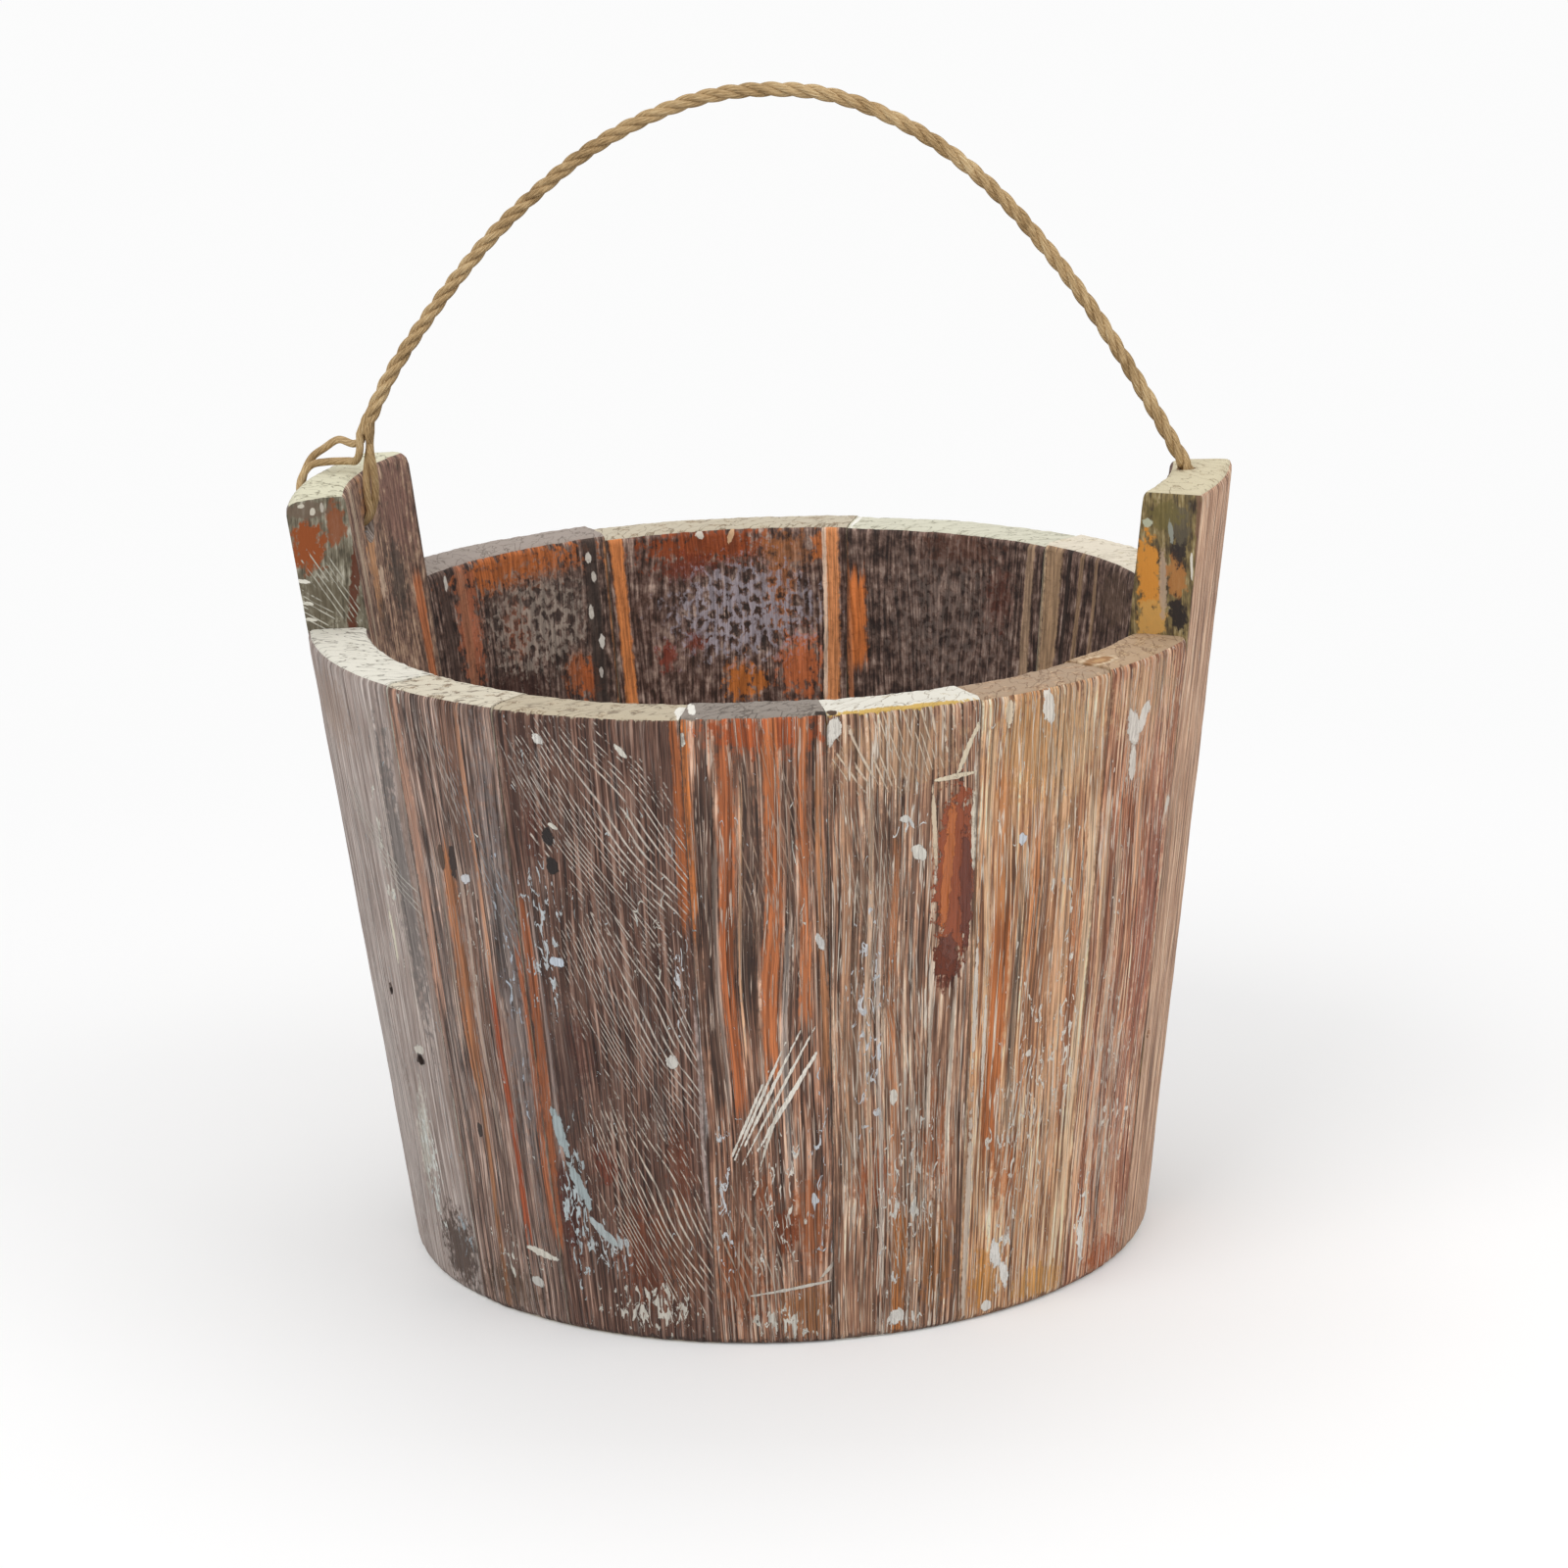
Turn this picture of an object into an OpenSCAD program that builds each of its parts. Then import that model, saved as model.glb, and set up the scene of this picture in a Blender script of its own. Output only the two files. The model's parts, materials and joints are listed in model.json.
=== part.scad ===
// Staved wooden bucket with two standing ears and a rope bail.
// Millimetres, +Z up, origin at the centre of the foot on the floor.
// The photographed front faces -Y, the left ear is on -X, the right ear on +X.

/* [Bucket] */
// Outside diameter across the rim
rim_d = 300; // [270:1:340]
// Outside diameter across the foot
foot_d = 249; // [225:1:280]
// Height of the rim above the floor
rim_h = 212; // [180:1:260]
// Thickness of a stave, measured level
wall_t = 20; // [17:0.5:24]
// Rounding of the rim and of the outer foot edge
edge_r = 2.5; // [1:0.5:4]

/* [Ears] */
// Height of the left ear above the rim
left_ear_h = 45; // [36:1:60]
// Height of the right ear above the rim
right_ear_h = 47; // [36:1:60]
// How far the left ear's top falls from its inner to its outer edge
left_ear_fall = 2.5; // [0:0.5:5]
// Rounding of the left ear's back top corner
left_corner_r = 6; // [2:0.5:10]
// Rounding of the other top corners of the ears
small_corner_r = 2; // [1:0.5:4]
// Rounding of the left ear's outer top edge, worn by the strands
worn_edge_r = 4; // [2:0.5:6]

/* [Base] */
// Height of the inside floor above the ground
floor_h = 26; // [20:1:36]
// Thickness of the base boards
base_t = 14; // [11:0.5:18]
// Thickness of the tongue round the base
tongue_t = 8; // [6:0.5:10]
// Depth of the groove that holds the base
groove_depth = 6; // [4:0.5:9]
// Play of the tongue in its groove
groove_play = 0.3; // [0.1:0.1:0.6]
// Width of the bevel under the edge of the base
bevel_w = 10; // [6:1:16]
// Width of the middle base board
middle_board_w = 84; // [60:1:110]

/* [Dowels] */
// Diameter of the dowels in the stave joints
stave_dowel_d = 8; // [6:0.5:10]
// Length of the dowels in the stave joints
stave_dowel_l = 24; // [16:1:30]
// Height of the lower ring of stave dowels
lower_dowel_z = 50; // [40:1:80]
// Height of the upper ring of stave dowels
upper_dowel_z = 168; // [120:1:174]
// Diameter of the dowels between the base boards
base_dowel_d = 6; // [5:0.5:8]
// Length of the dowels between the base boards
base_dowel_l = 30; // [20:1:40]
// Distance of each base dowel from the middle of its joint
base_dowel_out = 55; // [30:1:70]
// Clearance all round a dowel
dowel_play = 0.1; // [0.05:0.05:0.3]

/* [Rope] */
// Diameter of the laid rope
rope_d = 5; // [4:0.1:6]
// Diameter of one strand where the rope is unlaid
strand_d = 2.6; // [2:0.1:3]
// Diameter of the rope hole through the left ear
eye_hole_d = 8; // [7:0.5:10]
// Depth of the left rope hole's middle below the ear's top
eye_hole_drop = 18; // [14:1:24]
// Widening of the left rope hole at its two worn mouths
mouth_w = 1.5; // [0.5:0.5:3]
// Clearance round the rope in the right ear's hole
rope_play = 0.4; // [0.2:0.1:0.8]
// Depth of the blind rope hole in the top of the right ear
tail_depth = 20; // [14:1:24]
// Lean of that hole from the upright, towards the middle of the bucket
tail_lean = 22; // [10:1:24]
// Distance of that hole's mouth from the ear's inner top edge
tail_inset = 5.5; // [4.5:0.5:8]
// Gap between the swinging bail and what it stands over
bail_gap = 0.4; // [0.3:0.1:0.8]

/* [Hidden] */
$fn = 120;

// Where each stave starts, in degrees anticlockwise from +X: the right ear first,
// then four wide back staves, the left ear and seven front staves
seams = [-26, -4, 40, 76, 115, 152, 185, 218, 236, 260, 277, 296, 316];
// How far each stave's rim stands above or below the nominal rim
rises = [0, 0.4, -0.3, 0, 1.5, 0, 0.3, 0, -0.4, 0.3, 0, -0.5, 0.2];
right_ear = 0;
left_ear = 5;

// The upright plane of the bail: +X in this plane points to the right ear
rope_turn = -11;
// Centre line of the bail in that plane, across and up, left to right
bail_route = [[-122, 291], [-112, 305], [-100, 320], [-86, 335.5], [-70, 350], [-52, 363.5],
              [-32, 374], [-12, 380.5], [8, 382.5], [28, 380.5], [48, 373], [66, 362],
              [82, 348], [96, 332], [108, 316], [119, 299], [129, 282]];
// Left end of the bail, over the splice
bail_left = [-128.5, 279.5];
// Centre line of the splice, from its foot up
splice_route = [[-132.6, 0, 270], [-131.4, 0, 274], [-129.7, 0, 277]];
// Half the distance between strands that lie side by side
strand_half = 1.5;
// Strand that stands clear of the ear's top: across, back and up, from the splice
// down through the hole and back over the ear
high_route = [[-131.1, 1.5, 270], [-131.2, 1.5, 258], [-131.7, 1.5, 247.5], [-133, 1.5, 241.5],
              [-137, 1.5, 239.3], [-149, 1.5, 239.3], [-154.6, 2, 241], [-157, 4.5, 246.5],
              [-157.8, 9, 253], [-155.5, 12.5, 259], [-150, 10.5, 263], [-144, 7, 266.5],
              [-138, 3.2, 265.8], [-134.6, 1.8, 267.2], [-134.1, 1.5, 270]];
// Strand that lies on the ear's top
low_route = [[-131.1, -1.5, 270], [-131.2, -1.5, 258], [-131.7, -1.5, 247.5], [-133, -1.5, 241.5],
             [-137, -1.5, 239.3], [-149, -1.5, 239.3], [-154.6, -1.2, 241], [-156.6, 1.2, 246.5],
             [-157.6, 5.4, 252.5], [-154.9, 8.7, 257.2], [-149, 8.5, 258.6], [-141, 6, 259.4],
             [-136.8, 1.4, 260.4], [-134.5, -1.3, 264.2], [-134.1, -1.5, 270]];

wood_brown = [0.36, 0.25, 0.19];
wood_grey = [0.42, 0.36, 0.33];
wood_rust = [0.55, 0.30, 0.17];
wood_tan = [0.62, 0.47, 0.34];
wood_pale = [0.74, 0.65, 0.50];
rope_tan = [0.70, 0.55, 0.36];
stave_colours = [wood_tan, wood_brown, wood_brown, wood_rust, wood_grey, wood_grey, wood_grey,
                 wood_rust, wood_brown, wood_rust, wood_tan, wood_rust, wood_tan];

slope = (rim_d - foot_d) / 2 / rim_h;
left_top = rim_h + left_ear_h;
right_top = rim_h + right_ear_h;
groove_low = floor_h - tongue_t;
groove_high = floor_h + groove_play;
groove_r = inner_r(groove_high) + groove_depth;
eye_hole_z = left_top - eye_hole_drop;
tail_mouth = [inner_r(right_top) + tail_inset, right_top];
tail_up = [-sin(tail_lean), cos(tail_lean)];
// The bail bends where it leaves the right ear: its centre clears the ear's top
bail_right = tail_mouth + tail_up * (rope_d / 2 + bail_gap) / cos(tail_lean);
reach = 400; // longer than anything it cuts

function outer_r(z) = foot_d / 2 + slope * z;
function inner_r(z) = outer_r(z) - wall_t;
function middle_r(z) = outer_r(z) - wall_t / 2;
function seam_end(i) = i == len(seams) - 1 ? seams[0] + 360 : seams[i + 1];

// Quarter round of radius r about a point of the wall section
function quarter(centre, r, from) =
    [for (i = [0:3]) centre + r * [cos(from + 30 * i), sin(from + 30 * i)]];

// Section of the wall up to its own inner and outer top, with the groove for the base
module wall_section(top_in, top_out, top_r) {
    polygon(concat(
        [[inner_r(0), 0]],
        quarter([outer_r(edge_r) - edge_r, edge_r], edge_r, -90),
        quarter([outer_r(top_out - top_r) - top_r, top_out - top_r], top_r, 0),
        quarter([inner_r(top_in - edge_r) + edge_r, top_in - edge_r], edge_r, 90),
        [[inner_r(groove_high), groove_high], [groove_r, groove_high],
         [groove_r, groove_low], [inner_r(groove_low), groove_low]]));
}

// One dowel across the joint at angle a, grown all round by play
module stave_dowel(a, z, play = 0) {
    rotate([0, 0, a])
        translate([middle_r(z), 0, z])
            rotate([90, 0, 0])
                cylinder(d = stave_dowel_d + 2 * play, h = stave_dowel_l + 2 * play, center = true);
}

// Stave number i, with mitred sides and blind dowel holes
module stave(i, top_in, top_out, top_r) {
    first = seams[i];
    last = seam_end(i);
    color(stave_colours[i])
        difference() {
            rotate([0, 0, first])
                rotate_extrude(angle = last - first)
                    wall_section(top_in, top_out, top_r);
            for (a = [first, last], z = [lower_dowel_z, upper_dowel_z])
                stave_dowel(a, z, dowel_play);
        }
}

module plain_stave(i) {
    top = rim_h + rises[i];
    stave(i, top, top, edge_r);
}

// Cuts the round of radius r on the top corner of an ear at its side face;
// side is 1 where the ear lies anticlockwise of the face, -1 where clockwise
module corner_cut(a, top, r, side) {
    rotate([0, 0, a])
        scale([1, side, 1])
            translate([0, r, top - r])
                difference() {
                    translate([0, -reach / 2, 0])
                        cube([reach, reach / 2, reach / 2]);
                    rotate([0, 90, 0])
                        cylinder(r = r, h = reach);
                }
}

// Through hole for the eye, with worn mouths on both faces of the ear
module eye_hole() {
    mouth_r = eye_hole_d / 2 + mouth_w;
    rotate([0, 0, rope_turn + 180])
        translate([0, 0, eye_hole_z])
            rotate([0, 90, 0]) {
                cylinder(d = eye_hole_d, h = reach);
                translate([0, 0, inner_r(eye_hole_z) - mouth_w])
                    cylinder(r1 = mouth_r + mouth_w, r2 = mouth_r - mouth_w, h = 2 * mouth_w);
                translate([0, 0, outer_r(eye_hole_z) - mouth_w])
                    cylinder(r1 = mouth_r - mouth_w, r2 = mouth_r + mouth_w, h = 2 * mouth_w);
            }
}

module ear_stave_left() {
    difference() {
        stave(left_ear, left_top, left_top - left_ear_fall, worn_edge_r);
        corner_cut(seams[left_ear], left_top, left_corner_r, 1);
        corner_cut(seam_end(left_ear), left_top, small_corner_r, -1);
        eye_hole();
    }
}

// Places its children on the axis of the right ear's rope hole, mouth at zero
module at_tail() {
    rotate([0, 0, rope_turn])
        translate([tail_mouth.x, 0, tail_mouth.y])
            rotate([0, -tail_lean, 0])
                children();
}

module ear_stave_right() {
    difference() {
        stave(right_ear, right_top, right_top, edge_r);
        corner_cut(seams[right_ear], right_top, small_corner_r, 1);
        corner_cut(seam_end(right_ear), right_top, small_corner_r, -1);
        at_tail()
            translate([0, 0, -tail_depth])
                cylinder(d = rope_d + 2 * rope_play, h = 2 * tail_depth);
    }
}

// Whole base before it is sawn into boards: a tongue all round, bevelled below
module base_disc() {
    tongue_r = groove_r - groove_play;
    lip_r = inner_r(groove_low) - 2 * groove_play;
    under = floor_h - base_t;
    rotate_extrude()
        polygon([[0, under], [lip_r - bevel_w, under], [lip_r, groove_low],
                 [tongue_r, groove_low], [tongue_r, floor_h], [0, floor_h]]);
}

// The four dowels between the base boards, grown all round by play
module base_dowel_set(play = 0) {
    for (x = [-1, 1] * middle_board_w / 2, y = [-1, 1] * base_dowel_out)
        translate([x, y, floor_h - base_t / 2])
            rotate([0, 90, 0])
                cylinder(d = base_dowel_d + 2 * play, h = base_dowel_l + 2 * play, center = true);
}

// One base board between two distances across the ears
module base_board(from, to) {
    color(wood_brown)
        rotate([0, 0, rope_turn])
            difference() {
                intersection() {
                    base_disc();
                    translate([from, -reach / 2, 0])
                        cube([to - from, reach, reach]);
                }
                base_dowel_set(dowel_play);
            }
}

module stave_dowel_ring(z) {
    color(wood_pale)
        for (a = seams)
            stave_dowel(a, z);
}

module base_dowels() {
    color(wood_pale)
        rotate([0, 0, rope_turn])
            base_dowel_set();
}

function unit(v) = v / norm(v);

// Point at t of a smooth curve from b to c, whose neighbours are a and d
function on_curve(a, b, c, d, t) =
    (2 * b + (c - a) * t + (2 * a - 5 * b + 4 * c - d) * t * t
     + (3 * b - a - 3 * c + d) * t * t * t) / 2;

// The route with steps points to each of its stretches, on a smooth curve
function smooth(route, steps) =
    let (n = len(route) - 1)
    concat([for (i = [0:n - 1], j = [0:steps - 1])
                on_curve(route[max(i - 1, 0)], route[i], route[i + 1], route[min(i + 2, n)],
                         j / steps)],
           [route[n]]);

// Heading of a line at point i; the two ends may be given
function heading(line, i, first, last) =
    let (n = len(line) - 1)
    i == 0 && first != undef ? unit(first)
    : i == n && last != undef ? unit(last)
    : unit(line[min(i + 1, n)] - line[max(i - 1, 0)]);

// Tube of the given radii about a line that never runs along Y
module tube(line, radii, sides, first = undef, last = undef) {
    n = len(line);
    points = [for (i = [0:n - 1])
        let (t = heading(line, i, first, last),
             u = unit(cross([0, 1, 0], t)),
             v = cross(t, u))
        for (k = [0:sides - 1])
            line[i] + radii[i] * (cos(360 * k / sides) * u + sin(360 * k / sides) * v)];
    walls = [for (i = [0:n - 2], k = [0:sides - 1])
        let (a = i * sides + k, b = i * sides + (k + 1) % sides)
        each [[a, b + sides, b], [a, a + sides, b + sides]]];
    ends = [[for (k = [0:sides - 1]) k], [for (k = [sides - 1:-1:0]) (n - 1) * sides + k]];
    polyhedron(points = points, faces = concat(walls, ends));
}

// Rings of a round end on a tube of radius r: each is [distance beyond the end, radius]
dome = [for (a = [25, 50, 75]) [sin(a), cos(a)] * rope_d / 2];

// The free arc of the bail, its ends rounded so that they turn in their seats
module rope_bail() {
    flat = smooth(concat([bail_left], bail_route, [bail_right]), 2);
    arc = [for (p = flat) [p.x, 0, p.y]];
    n = len(arc) - 1;
    start_way = unit(arc[0] - arc[1]);
    end_way = unit(arc[n] - arc[n - 1]);
    line = concat([for (k = [2:-1:0]) arc[0] + start_way * dome[k].x], arc,
                  [for (k = [0:2]) arc[n] + end_way * dome[k].x]);
    radii = concat([for (k = [2:-1:0]) dome[k].y], [for (p = arc) rope_d / 2],
                   [for (k = [0:2]) dome[k].y]);
    color(rope_tan)
        rotate([0, 0, rope_turn])
            tube(line, radii, 10);
}

// Thickened neck where the strands of the eye are tucked back into the rope
module rope_splice() {
    foot = strand_half * sqrt(2) + strand_d / 2 + 0.15;
    line = smooth(splice_route, 2);
    n = len(line) - 1;
    way = unit([bail_left.x, 0, bail_left.y] - line[n]);
    color(rope_tan)
        rotate([0, 0, rope_turn])
            tube(line, [for (i = [0:n]) foot + (rope_d / 2 - foot) * i / n], 12, [0, 0, 1], way);
}

// End of the rope in the right ear, down to the floor of its hole
module rope_tail() {
    proud = (rope_d / 2 + bail_gap) / cos(tail_lean) - rope_d / 2 - bail_gap;
    color(rope_tan)
        at_tail()
            translate([0, 0, -tail_depth])
                cylinder(d = rope_d, h = tail_depth + proud);
}

module eye_strand(route) {
    line = smooth(route, 2);
    color(rope_tan)
        rotate([0, 0, rope_turn])
            tube(line, [for (p = line) strand_d / 2], 8, [0, 0, -1], [0, 0, 1]);
}

ear_stave_right();
plain_stave(1);  // back_stave_1
plain_stave(2);  // back_stave_2
plain_stave(3);  // back_stave_3
plain_stave(4);  // back_stave_4
ear_stave_left();
plain_stave(6);  // front_stave_1
plain_stave(7);  // front_stave_2
plain_stave(8);  // front_stave_3
plain_stave(9);  // front_stave_4
plain_stave(10);  // front_stave_5
plain_stave(11);  // front_stave_6
plain_stave(12);  // front_stave_7
base_board(-reach, -middle_board_w / 2);  // base_board_left
base_board(-middle_board_w / 2, middle_board_w / 2);  // base_board_middle
base_board(middle_board_w / 2, reach);  // base_board_right
stave_dowel_ring(lower_dowel_z);  // stave_dowels_lower
stave_dowel_ring(upper_dowel_z);  // stave_dowels_upper
base_dowels();
rope_bail();
rope_splice();
rope_tail();
eye_strand(high_route);  // eye_strand_high
eye_strand(low_route);  // eye_strand_low
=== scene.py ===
import json
import math
import random

import bmesh
import bpy
from mathutils import Matrix, Vector


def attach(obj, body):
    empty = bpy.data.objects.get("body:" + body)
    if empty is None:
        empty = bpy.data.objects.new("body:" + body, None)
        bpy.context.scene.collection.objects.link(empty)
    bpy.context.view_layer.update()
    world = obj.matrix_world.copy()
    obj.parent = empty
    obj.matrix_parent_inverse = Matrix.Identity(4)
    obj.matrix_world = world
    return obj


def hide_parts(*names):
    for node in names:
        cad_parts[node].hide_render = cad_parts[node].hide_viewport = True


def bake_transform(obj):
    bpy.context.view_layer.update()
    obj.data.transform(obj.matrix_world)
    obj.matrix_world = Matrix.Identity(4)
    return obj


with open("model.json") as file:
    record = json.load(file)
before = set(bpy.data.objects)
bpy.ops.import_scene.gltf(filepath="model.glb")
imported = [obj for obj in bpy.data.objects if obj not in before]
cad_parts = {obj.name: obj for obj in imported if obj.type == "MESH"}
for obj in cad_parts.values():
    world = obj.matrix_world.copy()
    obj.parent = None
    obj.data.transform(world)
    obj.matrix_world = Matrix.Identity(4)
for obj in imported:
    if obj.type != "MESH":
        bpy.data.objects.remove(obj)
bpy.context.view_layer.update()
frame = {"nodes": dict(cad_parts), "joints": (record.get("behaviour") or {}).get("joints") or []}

mm = 0.001

# Camera at the photographed angle
view = {
    "place": (0.0, -1.477, 0.546),
    "yaw": 0.21,  # degrees to the right
    "down": 14.98,
    "roll": 1.91,
    "lens": 104.79,  # millimetres, on a sensor of 36
}


def makeCamera():
    bpy.ops.object.camera_add()
    camera = bpy.context.object
    camera.name = "camera"
    camera.data.lens = view["lens"]
    camera.data.sensor_width = 36
    turns = (("Z", -view["yaw"]), ("X", 90 - view["down"]), ("Z", -view["roll"]))
    camera.matrix_world = Matrix.Translation(view["place"])
    for axis, angle in turns:
        camera.matrix_world = camera.matrix_world @ Matrix.Rotation(math.radians(angle), 4, axis)
    bpy.context.scene.camera = camera


makeCamera()
print("camera ready")


# Shader maths

class Link:  # what a node gives out, ready to reckon with
    def __init__(self, finish, socket):
        self.finish = finish
        self.socket = socket

    def reckon(self, operation, *values):
        return self.finish.node("Math", {"operation": operation}, dict(enumerate(values)))

    def __add__(self, other):
        return self.reckon("ADD", self, other)

    def __sub__(self, other):
        return self.reckon("SUBTRACT", self, other)

    def __rsub__(self, other):
        return self.reckon("SUBTRACT", other, self)

    def __mul__(self, other):
        return self.reckon("MULTIPLY", self, other)

    def __truediv__(self, other):
        return self.reckon("DIVIDE", self, other)

    def __abs__(self):
        return self.reckon("ABSOLUTE", self)

    __radd__ = __add__
    __rmul__ = __mul__


def colour(code):  # a hex colour as a linear one
    parts = [int(code[i:i + 2], 16) / 255 for i in (1, 3, 5)]
    return [p / 12.92 if p <= 0.04045 else ((p + 0.055) / 1.055) ** 2.4 for p in parts] + [1]


class Finish:  # one material and its nodes
    def __init__(self, name):
        self.material = bpy.data.materials.new(name)
        self.material.use_nodes = True
        self.tree = self.material.node_tree
        self.tree.nodes.clear()

    def node(self, kind, settings=None, inputs=None, out=0):
        made = self.tree.nodes.new("ShaderNode" + kind)
        for key, value in (settings or {}).items():
            if key == "stops":
                ramp = made.color_ramp.elements
                while len(ramp) < len(value):
                    ramp.new(0.5)
                for element, (place, code) in zip(ramp, value):
                    element.position = place
                    element.color = colour(code)
            else:
                setattr(made, key, value)
        for key, value in (inputs or {}).items():
            if isinstance(value, Link):
                self.tree.links.new(value.socket, made.inputs[key])
            else:
                made.inputs[key].default_value = value
        return Link(self, made.outputs[out]) if made.outputs else None

    def vector(self, x=0, y=0, z=0):
        return self.node("CombineXYZ", {}, {0: x, 1: y, 2: z})

    def noise(self, x, y, detail=2, roughness=0.5, warp=0):
        return self.node("TexNoise", {"noise_dimensions": "2D"},
                         {"Vector": self.vector(x, y), "Scale": 1, "Detail": detail,
                          "Roughness": roughness, "Distortion": warp})

    def smooth(self, value, low, high):  # 0 at low, 1 at high, either way round
        return self.node("MapRange", {"interpolation_type": "SMOOTHSTEP"},
                         {"Value": value, "From Min": low, "From Max": high})

    def mix(self, share, under, over, how="MIX"):
        return self.node("Mix", {"data_type": "RGBA", "blend_type": how},
                         {0: share, 6: under, 7: over}, 2)

    def paint(self, share, under, code):
        return self.mix(share, under, colour(code))

    def ramp(self, value, stops):
        return self.node("ValToRGB", {"stops": stops}, {0: value})

    def close(self, base, rough, height=None, depth=0.0004, strength=0.6, coat=0):
        inputs = {"Base Color": base, "Roughness": rough, "Coat Weight": coat}
        if height is not None:
            inputs["Normal"] = self.node("Bump", {}, {"Strength": strength, "Distance": depth,
                                                      "Height": height})
        shader = self.node("BsdfPrincipled", {}, inputs)
        self.node("OutputMaterial", {}, {"Surface": shader})
        return self.material


# The bucket's own sizes, as in the frame: metres and degrees
bucket = {
    "rimRadius": 0.150,
    "footRadius": 0.1245,
    "height": 0.212,
    "wall": 0.020,
    "edge": 0.0025,
    "wornEdge": 0.004,
    "grooveLow": 0.018,
    "grooveHigh": 0.0263,
    "grooveDepth": 0.006,
    "leftTop": 0.257,
    "leftFall": 0.0025,
    "leftCorner": 0.006,
    "rightTop": 0.259,
    "smallCorner": 0.002,
    "seamGap": 0.00012,  # half of the line that shows between two staves
    "ropeTurn": -11,
}
slope = (bucket["rimRadius"] - bucket["footRadius"]) / bucket["height"]


def outerRadius(z):
    return bucket["footRadius"] + slope * z


def innerRadius(z):
    return outerRadius(z) - bucket["wall"]


ropeAcross = Vector((math.cos(math.radians(bucket["ropeTurn"])),
                     math.sin(math.radians(bucket["ropeTurn"])), 0))
ropeBack = Vector((-ropeAcross.y, ropeAcross.x, 0))


def ropePlace(across, back, up):  # millimetres in the rope's own plane to a point
    return (ropeAcross * across + ropeBack * back + Vector((0, 0, up))) * mm


# Rope
rope = {
    "diameter": 0.005,
    "strand": 0.00126,  # radius of one strand
    "spread": 0.00124,  # distance of a strand's middle from the rope's
    "lay": 0.0215,  # one turn of a strand
    "eyeStrand": 0.0013,
    "eyeTwist": 200,  # degrees that the two strands turn about each other
    "rightMouth": (141.15, 259),
    "tailFoot": (148.3, 241.3),
    "overMouth": (139.98, 261.9),
    "arc": [(129, 282), (119, 299), (108, 316), (96, 332), (82, 348), (66, 362), (48, 373),
            (28, 380.5), (8, 382.5), (-12, 380.5), (-32, 374), (-52, 363.5), (-70, 350),
            (-86, 335.5), (-100, 320), (-112, 305), (-122, 291)],
    "overEye": [(-128.5, 279.5), (-129.7, 277), (-131.4, 274), (-132.6, 270)],
    "highRoute": [(-131.1, 1.5, 270), (-131.2, 1.5, 258), (-131.7, 1.5, 247.5),
                  (-133, 1.5, 241.5), (-137, 1.5, 239.3), (-149, 1.5, 239.3), (-154.6, 2, 241),
                  (-157, 4.5, 246.5), (-157.8, 9, 253), (-155.5, 12.5, 259),
                  (-150, 10.5, 263), (-144, 7, 266.5), (-138, 3.2, 265.8),
                  (-134.6, 1.8, 267.2), (-134.1, 1.5, 270)],
    "lowRoute": [(-131.1, -1.5, 270), (-131.2, -1.5, 258), (-131.7, -1.5, 247.5),
                 (-133, -1.5, 241.5), (-137, -1.5, 239.3), (-149, -1.5, 239.3),
                 (-154.6, -1.2, 241), (-156.6, 1.2, 246.5), (-157.6, 5.4, 252.5),
                 (-154.9, 8.7, 257.2), (-149, 8.5, 258.6), (-141, 6, 259.4),
                 (-136.8, 1.4, 260.4), (-134.5, -1.3, 264.2), (-134.1, -1.5, 270)],
    "hinge": (-0.126139, 0.024519, 0.2795),
    "bendBelow": 0.003,  # a distance below the hinge line
    "bendAbove": 0.020,
}


def smoothLine(points, step):
    # points along a smooth curve through the given ones, about step apart
    line = []
    last = len(points) - 1
    for i in range(last):
        a, b, c, d = (points[max(i - 1, 0)], points[i], points[i + 1], points[min(i + 2, last)])
        count = max(1, round((c - b).length / step))
        for k in range(count):
            t = k / count
            line.append((2 * b + (c - a) * t + (2 * a - 5 * b + 4 * c - d) * t * t
                         + (3 * b - a - 3 * c + d) * t ** 3) / 2)
    return line + [points[last]]


def lengthOf(line):
    return sum((b - a).length for a, b in zip(line, line[1:]))


def headings(line):
    last = len(line) - 1
    return [(line[min(i + 1, last)] - line[max(i - 1, 0)]).normalized() for i in range(last + 1)]


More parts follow.
